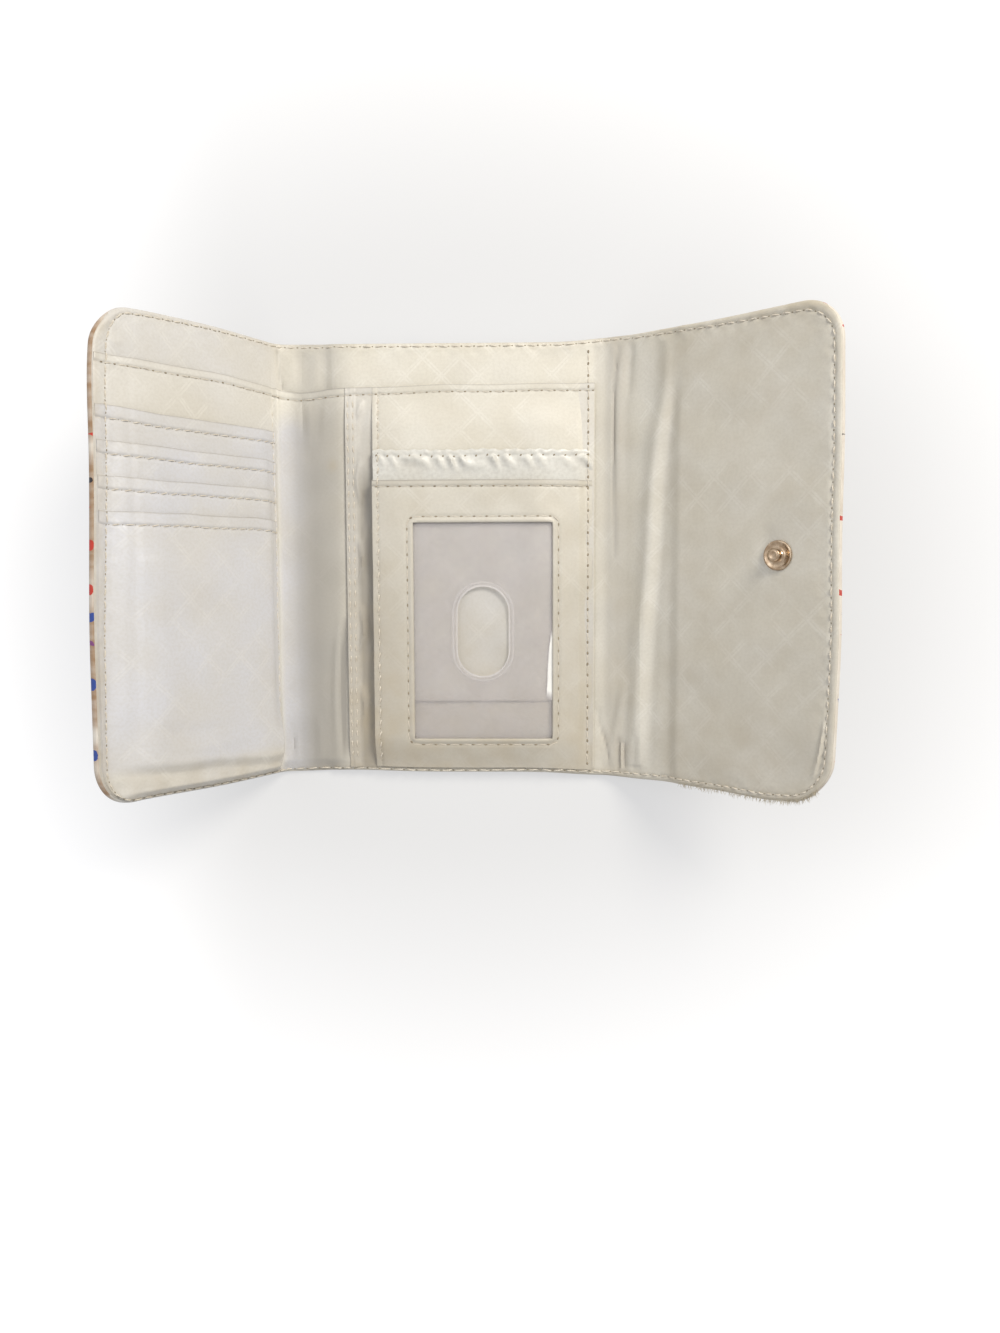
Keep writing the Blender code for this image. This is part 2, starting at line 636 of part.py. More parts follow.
def build_card_seams(panel, cloth):
    """The sewn seams that close the card pockets along the fold, the free side, the corner and the bottom."""
    stations = [(CARD_LIPS[-1], CARD_STACK_TOP), (BILL_LIP, BILL_TOP)]
    fold_end = CARD_SEAM_START + FOLD_SEAM_WIDTH
    ridge(panel, "card_pocket_fold_seam", cloth, CARD_SEAM_START, fold_end, POCKET_FLOOR, stations)
    side_floor = -INNER_HALF_HEIGHT + SEAM_CORNER_RADIUS
    side_start = CARD_POCKET_END + LAYER_GAP
    ridge(
        panel,
        "card_pocket_side_seam",
        cloth,
        side_start,
        CARD_SEAM_END,
        side_floor,
        stations,
        SEAM_EDGE_TOP,
    )
    inner_radius = SEAM_CORNER_RADIUS - SEAM_WIDTH
    corner_seam(
        panel,
        "card_pocket_corner_seam",
        cloth,
        CARD_SEAM_END,
        inner_radius,
        SEAM_CORNER_RADIUS,
        CARD_STACK_TOP,
    )
    bottom_end = CARD_SEAM_END - SEAM_CORNER_RADIUS
    bottom_seam(panel, "card_pocket_bottom_seam", cloth, CARD_SEAM_START, bottom_end, CARD_STACK_TOP)


def build_right_spine(panel, materials):
    """The wider spine between the centre and the snap flap."""
    tray(panel, "outer_right_spine", materials["print"], RIGHT_SPINE_WIDTH, SPINE_LINING_TOP)
    inner_layer(
        panel,
        "right_spine_lining",
        materials["lining"],
        RIGHT_SPINE_WIDTH,
        LAYER_GAP,
        SPINE_LINING_LEVEL,
        SPINE_LINING_TOP,
        SPINE_LINING_TOP,
        SPINE_LINING_TOP,
    )


def build_right_flap(panel, materials):
    """The snap flap's shell, with the hole that its half of the snap is pressed through."""
    cloth = tray(
        panel, "outer_right_flap", materials["print"], RIGHT_FLAP_LENGTH, SNAP_LINING_TOP, CORNER_RADIUS
    )
    layers = (
        ("right_flap_board", "board", BOARD_MARGIN, BOARD_LEVEL, BOARD_TOP),
        ("right_flap_lining", "lining", LAYER_GAP, SNAP_LINING_LEVEL, SNAP_LINING_TOP),
    )
    made = [
        inner_layer(panel, name, materials[material], RIGHT_FLAP_LENGTH, margin, low, high, SPINE_LINING_TOP)
        for name, material, margin, low, high in layers
    ]
    radius = CAP_POST_RADIUS + HOLE_CLEARANCE
    high = SNAP_LINING_TOP + CUT_OVERRUN
    hole = round_cutter(panel, "cap_hole", materials["metal"], radius, -CUT_OVERRUN, high, STUD_DISTANCE)
    for layer in (cloth, *made):
        cut(layer, hole)


def build_stud(panel, metal):
    """The stud on the snap flap's lining, hollow for the cap's post."""
    seat = SNAP_LINING_TOP + LAYER_GAP
    shoulder = seat + STUD_FLANGE_THICKNESS
    neck_end = shoulder + STUD_NECK_HEIGHT
    tip = shoulder + STUD_POST_HEIGHT
    head = [(STUD_HEAD_RADIUS * r, neck_end + STUD_HEAD_HEIGHT * h) for r, h in STUD_HEAD_SHARES]
    profile = [
        (STUD_BORE_RADIUS, seat),
        (STUD_FLANGE_RADIUS, seat),
        (STUD_FLANGE_RADIUS, shoulder),
        (STUD_NECK_RADIUS, shoulder),
        (STUD_NECK_RADIUS, neck_end),
        *head,
        (0.0, tip),
        (0.0, tip - STUD_ROOF),
        (STUD_BORE_RADIUS, tip - STUD_ROOF),
    ]
    panel.turned("snap_stud", metal, profile, STUD_DISTANCE)


def build_cap(panel, metal):
    """The domed cap on the snap flap's outer face, whose post runs through the flap into the stud."""
    stud_tip = SNAP_LINING_TOP + LAYER_GAP + STUD_FLANGE_THICKNESS + STUD_POST_HEIGHT
    post_top = stud_tip - STUD_ROOF - LAYER_GAP
    seat = -LAYER_GAP
    edge = seat - CAP_SEAT_THICKNESS
    crown = [(CAP_RADIUS * r, edge - CAP_CROWN_HEIGHT * h) for r, h in CAP_CROWN_SHARES]
    profile = [
        (0.0, post_top),
        (CAP_POST_RADIUS, post_top),
        (CAP_POST_RADIUS, seat),
        (CAP_RADIUS, seat),
        *crown,
    ]
    panel.turned("snap_cap", metal, profile, STUD_DISTANCE)


def build_socket(panel, metal):
    """The socket on the card flap's outer face, open outwards, with a groove for its spring."""
    base = -LAYER_GAP
    face = base - SOCKET_STAND
    groove_roof = face + SOCKET_LIP
    groove_floor = groove_roof + SOCKET_GROOVE_HEIGHT
    floor = base - SOCKET_BASE_THICKNESS
    rim = [(SOCKET_RADIUS * r, base - SOCKET_STAND * h) for r, h in SOCKET_RIM_SHARES]
    profile = [
        (RIVET_HOLE_RADIUS, base),
        *rim,
        (SOCKET_MOUTH_RADIUS, face),
        (SOCKET_MOUTH_RADIUS, groove_roof),
        (SOCKET_GROOVE_RADIUS, groove_roof),
        (SOCKET_GROOVE_RADIUS, groove_floor),
        (SOCKET_MOUTH_RADIUS, groove_floor),
        (SOCKET_MOUTH_RADIUS, floor),
        (RIVET_HOLE_RADIUS, floor),
    ]
    panel.turned("snap_socket", metal, profile, SOCKET_DISTANCE)


def build_rivet(panel, metal):
    """The hollow rivet that holds the socket, flanged against the board and flared in the socket."""
    flange_floor = BOARD_TOP - RIVET_FLANGE_THICKNESS
    end = -LAYER_GAP - RIVET_END
    flare = end + RIVET_FLARE_HEIGHT
    profile = [
        (RIVET_BORE_RADIUS, BOARD_TOP),
        (RIVET_FLANGE_RADIUS, BOARD_TOP),
        (RIVET_FLANGE_RADIUS, flange_floor),
        (RIVET_POST_RADIUS, flange_floor),
        (RIVET_POST_RADIUS, flare),
        (RIVET_FLARE_RADIUS, flare),
        (RIVET_FLARE_RADIUS, end),
        (RIVET_BORE_RADIUS, end),
    ]
    panel.turned("snap_socket_rivet", metal, profile, SOCKET_DISTANCE)


def build_spring(panel, metal):
    """The split wire ring in the socket's groove, which grips the stud's neck."""
    face = -LAYER_GAP - SOCKET_STAND
    level = face + SOCKET_LIP + SOCKET_GROOVE_HEIGHT / 2
    middle = panel.side * SOCKET_DISTANCE
    mesh = bmesh.new()
    rings = []
    for n in range(SPRING_STEPS + 1):
        angle = SPRING_GAP_ANGLE / 2 + (math.tau - SPRING_GAP_ANGLE) * n / SPRING_STEPS
        ring = []
        for k in range(WIRE_SIDES):
            turn = math.tau * k / WIRE_SIDES
            radius = SPRING_RING_RADIUS + SPRING_WIRE_RADIUS * math.cos(turn)
            height = level + SPRING_WIRE_RADIUS * math.sin(turn)
            ring.append(mesh.verts.new((middle + radius * math.cos(angle), radius * math.sin(angle), height)))
        rings.append(ring)
    for ring, after in zip(rings, rings[1:]):
        join_rings(mesh, ring, after)
    mesh.faces.new(rings[0])
    mesh.faces.new(rings[-1])
    shade_round(panel.add("snap_socket_spring", mesh, metal))


def main():
    """Builds the open wallet."""
    clear_scene()
    materials = build_materials()
    cloth = materials["lining"]
    metal = materials["metal"]
    panels = build_panels()
    build_centre_shell(panels["centre"], materials)
    build_centre_pockets(panels["centre"], materials)
    build_window(panels["centre"], materials)
    build_centre_seams(panels["centre"], cloth)
    build_left_spine(panels["left_spine"], materials)
    build_left_flap(panels["left_flap"], materials)
    build_card_pockets(panels["left_flap"], cloth)
    build_card_seams(panels["left_flap"], cloth)
    build_right_spine(panels["right_spine"], materials)
    build_right_flap(panels["right_flap"], materials)
    build_stud(panels["right_flap"], metal)
    build_cap(panels["right_flap"], metal)
    build_socket(panels["left_flap"], metal)
    build_rivet(panels["left_flap"], metal)
    build_spring(panels["left_flap"], metal)


main()
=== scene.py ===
"""Looks of a snap-closed trifold wallet, lying half open on its back.

A place on the cloth is written (s, v, h). s runs along the outer cloth from the centre panel's left
fold, positive towards the snap flap. v runs up the wallet from its middle. h stands above the outer
face. The section turns such a place into the row frame, so every layer follows the panels and folds.
"""

import json
import logging
import math
from collections.abc import Callable, Iterable, Sequence
from dataclasses import dataclass, field
from enum import Enum

import bpy
import numpy as np
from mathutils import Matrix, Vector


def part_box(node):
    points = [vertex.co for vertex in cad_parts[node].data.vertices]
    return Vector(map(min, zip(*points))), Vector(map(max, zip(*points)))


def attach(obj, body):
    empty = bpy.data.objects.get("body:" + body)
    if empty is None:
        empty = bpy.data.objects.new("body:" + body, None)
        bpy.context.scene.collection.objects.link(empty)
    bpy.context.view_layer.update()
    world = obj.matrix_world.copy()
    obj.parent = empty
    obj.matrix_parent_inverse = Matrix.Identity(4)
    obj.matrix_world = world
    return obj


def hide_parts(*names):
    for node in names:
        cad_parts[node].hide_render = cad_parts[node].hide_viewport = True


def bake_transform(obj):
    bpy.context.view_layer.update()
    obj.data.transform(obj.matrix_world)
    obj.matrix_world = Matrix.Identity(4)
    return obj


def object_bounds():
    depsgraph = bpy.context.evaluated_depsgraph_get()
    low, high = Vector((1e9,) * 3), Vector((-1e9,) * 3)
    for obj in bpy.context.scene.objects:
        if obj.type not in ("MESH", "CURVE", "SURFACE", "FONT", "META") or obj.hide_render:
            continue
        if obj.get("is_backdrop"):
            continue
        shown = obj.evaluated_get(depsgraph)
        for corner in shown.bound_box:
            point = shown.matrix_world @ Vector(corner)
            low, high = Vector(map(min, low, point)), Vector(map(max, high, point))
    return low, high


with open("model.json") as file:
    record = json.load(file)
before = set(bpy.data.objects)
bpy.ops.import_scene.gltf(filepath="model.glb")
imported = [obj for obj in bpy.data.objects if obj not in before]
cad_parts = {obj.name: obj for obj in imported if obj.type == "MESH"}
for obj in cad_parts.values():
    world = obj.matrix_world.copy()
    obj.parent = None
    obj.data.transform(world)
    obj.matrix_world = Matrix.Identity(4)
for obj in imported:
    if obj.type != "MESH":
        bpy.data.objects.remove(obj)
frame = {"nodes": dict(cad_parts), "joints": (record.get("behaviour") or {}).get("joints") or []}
CAD_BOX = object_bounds()

LOG = logging.getLogger("wallet")
MM = 0.001
UV_PER_METRE = 10.0
MM_PER_UV = 1.0 / (UV_PER_METRE * MM)

Array = np.ndarray
Field = Callable[[Array, Array], Array]
Point = tuple[float, float]
Pair = tuple[Array, Array]
Shell = tuple[Array, Array, Array]
Tree = bpy.types.NodeTree
Socket = bpy.types.NodeSocket
Material = bpy.types.Material
Piece = bpy.types.Object


def smooth(value: Array | float, low: float, high: float) -> Array:
    """A soft step from 0 at low to 1 at high.

    Args:
        value: What is stepped.
        low: Where the step starts.
        high: Where it ends; it may lie below low.

    Returns:
        The step's share, from 0 to 1.
    """
    share = np.clip((np.asarray(value, float) - low) / (high - low), 0.0, 1.0)
    return share * share * (3.0 - 2.0 * share)


def bump(value: Array, middle: Array | float, width: float) -> Array:
    """A soft bump of height 1 round a middle, about twice its width across."""
    return np.exp(-(((value - middle) / width) ** 2))


def levels(s: Array, first: float, changes: Sequence[tuple[float, float, float]]) -> Array:
    """A level along the cloth that changes softly at a few places.

    Args:
        s: Places along the cloth.
        first: The level before the first change.
        changes: The middle, width and next level of each change, in order along the cloth.

    Returns:
        The level at each place.
    """
    found = np.full(np.shape(s), first, float)
    level = first
    for middle, width, after in changes:
        found = found + (after - level) * smooth(s, middle - width / 2, middle + width / 2)
        level = after
    return found


def waves(s: Array, v: Array, seed: int, length: float, count: int = 9) -> Array:
    """Soft irregular unevenness, about -1 to 1, from sines in scattered directions.

    Args:
        s: Places along the cloth.
        v: Places up the cloth.
        seed: Fixes the scatter.
        length: The typical distance between two highs.
        count: How many sines are added.

    Returns:
        The unevenness at each place.
    """
    scatter = np.random.default_rng(seed)
    total = np.zeros(np.shape(s))
    for _ in range(count):
        turn = scatter.uniform(0.0, math.tau)
        wave = math.tau / (length * scatter.uniform(0.7, 1.6))
        phase = scatter.uniform(0.0, math.tau)
        total = total + np.sin(wave * (s * math.cos(turn) + v * math.sin(turn)) + phase)
    return total / math.sqrt(count)


@dataclass(frozen=True)
class Side:
    """One side of the wallet's section, measured outwards from the centre panel's fold.

    Args:
        fold_x: Where that fold lies across the wallet.
        direction: 1 towards the snap flap, -1 towards the card flap.
        bend_at: How far out the side bends up.
        bend: How far it is bent at rest, in radians.
        radius: Radius of the soft bend in the outer face.
    """

    fold_x: float
    direction: int
    bend_at: float
    bend: float
    radius: float

    def place(self, out: Array, height: Array) -> Pair:
        """Turns a distance outwards and a height above the outer face into x and z."""
        reach = self.radius * math.tan(self.bend / 2)
        share = np.clip((out - self.bend_at + reach) / (2 * reach), 0.0, 1.0)
        turn = share * self.bend
        flat = np.minimum(out, self.bend_at - reach)
        beyond = np.maximum(out - self.bend_at - reach, 0.0)
        across = flat + self.radius * np.sin(turn) + beyond * math.cos(self.bend)
        up = self.radius * (1 - np.cos(turn)) + beyond * math.sin(self.bend)
        return self.fold_x + self.direction * (across - height * np.sin(turn)), up + height * np.cos(turn)


class Wallet:
    """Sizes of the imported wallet, read from its frame, and its section."""

    CORNER_RADIUS = 12.0 * MM
    LEFT_BEND_RADIUS = 6.0 * MM
    RIGHT_BEND_RADIUS = 9.0 * MM
    RIGID_REACH = 1.5 * MM
    SPINE_REACH = 6.5 * MM
    # Where use has pulled the outline: place along and up the cloth, move along and up it, and reach
    PULLS_MM = (
        (-86, 68, 0.9, -1.0, 11),
        (-85, -69, -0.2, -0.7, 8),
        (-45, 70, 0, 0.8, 22),
        (-45, -70, 0, -0.5, 20),
        (5, -70, 0, 0.7, 16),
        (84, -70, 0, -0.8, 12),
        (91, 70, 0, 1.2, 11),
        (109, 70, 0, 0.7, 13),
        (169.6, 30, 0.7, 0, 25),
        (169.6, -22, 1.0, 0, 25),
        (100, -70, 0, -1.0, 12),
        (124, -70, 0, -0.6, 12),
        (148, -70, 0, -1.2, 14),
        (168, -68, -0.7, 0.7, 9),
    )

    def __init__(self) -> None:
        """Reads the folds, flaps, levels and lips."""
        joints = {joint["name"]: joint for joint in frame["joints"]}
        left = joints["left_spine_fold"]["pos_m"][0]
        right = joints["right_spine_fold"]["pos_m"][0]
        left_flap = joints["left_flap_fold"]["pos_m"]
        right_flap = joints["right_flap_fold"]["pos_m"]
        left_bend = -math.radians(joints["left_flap_fold"]["range_deg"][0])
        right_bend = -math.radians(joints["right_spine_fold"]["range_deg"][0])
        self.centre = right - left
        self.left_spine = left - left_flap[0]
        self.right_spine = math.hypot(right_flap[0] - right, right_flap[2])
        self.left_flap = (left_flap[0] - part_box("outer_left_flap")[0].x) / math.cos(left_bend)
        self.right_flap = (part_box("outer_right_flap")[1].x - right_flap[0]) / math.cos(right_bend)
        self.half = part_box("outer_centre")[1].y
        self.left = Side(left, -1, self.left_spine, left_bend, self.LEFT_BEND_RADIUS)
        self.right = Side(right, 1, 0.0, right_bend, self.RIGHT_BEND_RADIUS)
        self.low_s = -self.left_spine - self.left_flap
        self.high_s = self.centre + self.right_spine + self.right_flap
        self.card_fold = -self.left_spine
        self.snap_fold = self.centre + self.right_spine
        self.read_levels()

    def read_levels(self) -> None:
        """Reads how high each layer's top stands, and where each pocket's lip lies."""
        self.lining = self.top("centre_lining")
        self.spine_lining = self.top("left_spine_lining")
        self.snap_lining = self.lining - 0.35 * MM
        self.bill = self.top("bill_pocket_centre")
        self.spine_bill = self.top("bill_pocket_left_spine")
        self.slip = self.top("slip_pocket_panel")
        self.back = self.top("id_pocket_back")
        self.ribbon = self.top("ribbon_card_pocket")
        self.film = self.top("id_window_film")
        self.frame = self.top("id_window_frame")
        self.card_step = self.ribbon - self.back
        # Loose lips stand a little above the solids' straight ones
        self.bill_lip = self.lip("bill_pocket_centre") + 1.7 * MM
        self.ribbon_lip = self.lip("ribbon_card_pocket") + 1.3 * MM
        self.frame_lip = self.lip("id_window_frame") + 2.3 * MM
        self.card_lips = [self.lip(f"card_pocket_{n}") for n in range(1, 5)]
        self.slip_start = self.across("slip_pocket_panel", 0)
        # The block's loose left edge reaches over the gap beside it
        self.block_start = self.across("id_window_frame", 0) - 1.2 * MM
        self.block_end = self.across("id_pocket_right_seam", 1)
        overlap = 3.0 * MM
        self.window_left = self.across("id_window_film", 0) + overlap
        self.window_right = self.across("id_window_film", 1) - overlap
        self.window_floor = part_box("id_window_film")[0].y + overlap
        self.window_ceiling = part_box("id_window_film")[1].y - overlap

    def top(self, node: str) -> float:
        """How high a flat layer's upper face stands."""
        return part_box(node)[1].z

    def lip(self, node: str) -> float:
        """Where a layer's upper edge lies up the wallet."""
        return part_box(node)[1].y

    def across(self, node: str, end: int) -> float:
        """Where a centre layer starts (0) or ends (1), from the centre's left fold."""
        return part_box(node)[end].x - self.left.fold_x

    def pulled(self, s: Array, v: Array) -> Pair:
        """Where a place has come to lie on the cloth, which use has pulled a little out of true."""
        out = np.clip((self.card_fold - s) / self.left_flap, 0.0, 1.1)
        lean = 0.6 * smooth(v, 40 * MM, 70 * MM) - 1.8 * smooth(v, 35 * MM, -30 * MM)
        moved_s, moved_v = s + lean * MM * out, v
        for at_s, at_v, along, up, reach in self.PULLS_MM:
            gap = (s - at_s * MM) ** 2 + (v - at_v * MM) ** 2
            share = MM * np.exp(-gap / (reach * MM) ** 2)
            moved_s, moved_v = moved_s + along * share, moved_v + up * share
        return moved_s, moved_v

    def place(self, s: Array, v: Array, h: Array) -> Array:
        """Turns places on the cloth into points in the row frame.

        Args:
            s: Distances along the cloth.
            v: Distances up the wallet.
            h: Heights above the outer face.

        Returns:
            The points, with x, y and z in the last axis.
        """
        s, v, h = np.broadcast_arrays(np.asarray(s, float), v, h)
        s, v = self.pulled(s, v)
        left_x, left_z = self.left.place(-s, h)
        right_x, right_z = self.right.place(s - self.centre, h)
        on_left = s < self.centre / 2
        return np.stack(
            [np.where(on_left, left_x, right_x), v, np.where(on_left, left_z, right_z)], axis=-1
        )

    def edge_distance(self, s: Array, v: Array) -> Array:
        """How far a place lies inside the wallet's outline."""
        radius = self.CORNER_RADIUS
        middle = (self.low_s + self.high_s) / 2
        across = np.abs(s - middle) - (self.high_s - middle - radius)
        along = np.abs(v) - (self.half - radius)
        outside = np.hypot(np.maximum(across, 0.0), np.maximum(along, 0.0))
        return radius - outside - np.minimum(np.maximum(across, along), 0.0)


WALLET = Wallet()


class Stretch(Enum):
    """A length of continuous cloth that bends at one fold: its reach, bodies and fold."""

    CARD_FLAP = "card_flap"
    CARD_SPINE = "card_spine"
    SNAP_SPINE = "snap_spine"
    SNAP_FLAP = "snap_flap"

    @property
    def reach(self) -> Point:
        """Where the stretch starts and ends along the cloth."""
        card = WALLET.card_fold / 2
        middle = WALLET.centre / 2
        snap = WALLET.centre + WALLET.right_spine / 2
        ends = [WALLET.low_s, card, middle, snap, WALLET.high_s]
        place = list(Stretch).index(self)
        return ends[place], ends[place + 1]

    @property
    def bodies(self) -> tuple[str, str]:
        """The CAD bodies at its left and right."""
        names = ["left_flap", "left_spine", "centre", "right_spine", "right_flap"]
        place = list(Stretch).index(self)
        return names[place], names[place + 1]

    @property
    def bend(self) -> Point:
        """Where the cloth starts and ends to turn with the fold. The spines take most of it."""
        folds = [WALLET.card_fold, 0.0, WALLET.centre, WALLET.snap_fold]
        fold = folds[list(Stretch).index(self)]
        rigid, spine = WALLET.RIGID_REACH, WALLET.SPINE_REACH
        if self in (Stretch.CARD_FLAP, Stretch.SNAP_SPINE):
            return fold - rigid, fold + spine
        return fold - spine, fold + rigid

    def carry(self, piece: Piece) -> None:
        """Bakes a piece's place into its mesh; the piece is not hung on a body, so it does not turn with the
        fold.
        """
        start, end = (WALLET.place(s, 0.0, 0.0) for s in self.bend)
        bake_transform(piece)


def ride(body: str) -> Callable[[Piece], None]:
    """The way a piece is carried that moves with one body."""
    return lambda piece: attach(piece, body)


# Materials


def linear(colour: str) -> tuple[float, float, float, float]:
    """Turns an sRGB hex colour into linear red, green, blue and alpha."""
    parts = [int(colour[n : n + 2], 16) / 255 for n in (1, 3, 5)]
    red, green, blue = (p / 12.92 if p <= 0.04045 else ((p + 0.055) / 1.055) ** 2.4 for p in parts)
    return red, green, blue, 1.0


@dataclass(frozen=True)
class Kind:
    """A kind of node, as it is used here.

    Args:
        type: Its type name.
        inputs: Its inputs by name or place, in the order in which their values are given.
        output: The output that is used.
        settings: Its own properties.
    """

    type: str
    inputs: tuple[str | int, ...] = (0, 1, 2)
    output: str | int = 0
    settings: dict[str, str] = field(default_factory=dict)


SUMS = (
    "ADD", "SUBTRACT", "MULTIPLY", "MULTIPLY_ADD", "DIVIDE", "PINGPONG", "ABSOLUTE", "MAXIMUM", "MINIMUM"
)
ADD, SUBTRACT, MULTIPLY, MULTIPLY_ADD, DIVIDE, PINGPONG, ABSOLUTE, MAXIMUM, MINIMUM = (
    Kind("ShaderNodeMath", settings={"operation": name}) for name in SUMS
)
SCALE = Kind("ShaderNodeVectorMath", (0, 3), settings={"operation": "SCALE"})
STRETCHED = Kind("ShaderNodeVectorMath", settings={"operation": "MULTIPLY"})
BETWEEN = Kind("ShaderNodeVectorMath", settings={"operation": "SUBTRACT"})
LENGTH = Kind("ShaderNodeVectorMath", output="Value", settings={"operation": "LENGTH"})
TURN = Kind("ShaderNodeVectorRotate", ("Vector", "Angle"), settings={"rotation_type": "Z_AXIS"})
SPLIT = Kind("ShaderNodeSeparateXYZ")
SPLIT_COLOUR = Kind("ShaderNodeSeparateColor")
COMBINE = Kind("ShaderNodeCombineXYZ")
RANGE = ("Value", "From Min", "From Max", "To Min", "To Max")
STEP = Kind("ShaderNodeMapRange", RANGE, "Result", {"interpolation_type": "SMOOTHSTEP"})
MIX = Kind("ShaderNodeMix", (0, 6, 7), 2, {"data_type": "RGBA"})
NOISE = Kind("ShaderNodeTexNoise", ("Vector", "Scale", "Detail"), "Fac")
YARNS = Kind("ShaderNodeTexWave", ("Vector", "Scale", "Distortion", "Detail", "Detail Scale"), "Fac")
CELLS = Kind("ShaderNodeTexVoronoi", ("Vector", "Scale", "Randomness"))
RELIEF = Kind("ShaderNodeBump", ("Height", "Strength", "Distance"))
ON_CLOTH = Kind("ShaderNodeTexCoord", output="UV")
ON_OBJECT = Kind("ShaderNodeTexCoord", output="Object")
WORN_BY = Kind("ShaderNodeAttribute", output="Fac")
RAYS = Kind("ShaderNodeLightPath")


def fill(tree: Tree, node: bpy.types.Node, values: dict[str | int, object]) -> None:
    """Links sockets to a node's inputs, makes hex colours linear and sets anything else."""
    for name, value in values.items():
        if isinstance(value, Socket):
            tree.links.new(value, node.inputs[name])
        else:
            hexed = isinstance(value, str) and value.startswith("#")
            node.inputs[name].default_value = linear(value) if hexed else value


def add(tree: Tree, kind: Kind, *values: object, **settings: str) -> Socket | None:
    """Adds a node to a tree, with its settings, values and links.

    Args:
        tree: The node tree.
        kind: What kind of node it is.
        *values: A value or an output socket for each of the kind's inputs, in order.
        **settings: More of the node's own properties.

    Returns:
        The output that the kind names, if the node has one.
    """
    node = tree.nodes.new(kind.type)
    for name, value in {**kind.settings, **settings}.items():
        setattr(node, name, value)
    fill(tree, node, dict(zip(kind.inputs, values)))
    return node.outputs[kind.output] if node.outputs else None


def cloth_millimetres(tree: Tree) -> Socket:
    """The place on the cloth in millimetres, from the UV map."""
    return add(tree, SCALE, add(tree, ON_CLOTH), MM_PER_UV)


def start_material(name: str) -> tuple[Material, Tree, bpy.types.Node]:
    """A new material with its tree and its Principled shader."""
    material = bpy.data.materials.new(name)
    material.use_nodes = True
    tree = material.node_tree
    return material, tree, tree.nodes["Principled BSDF"]


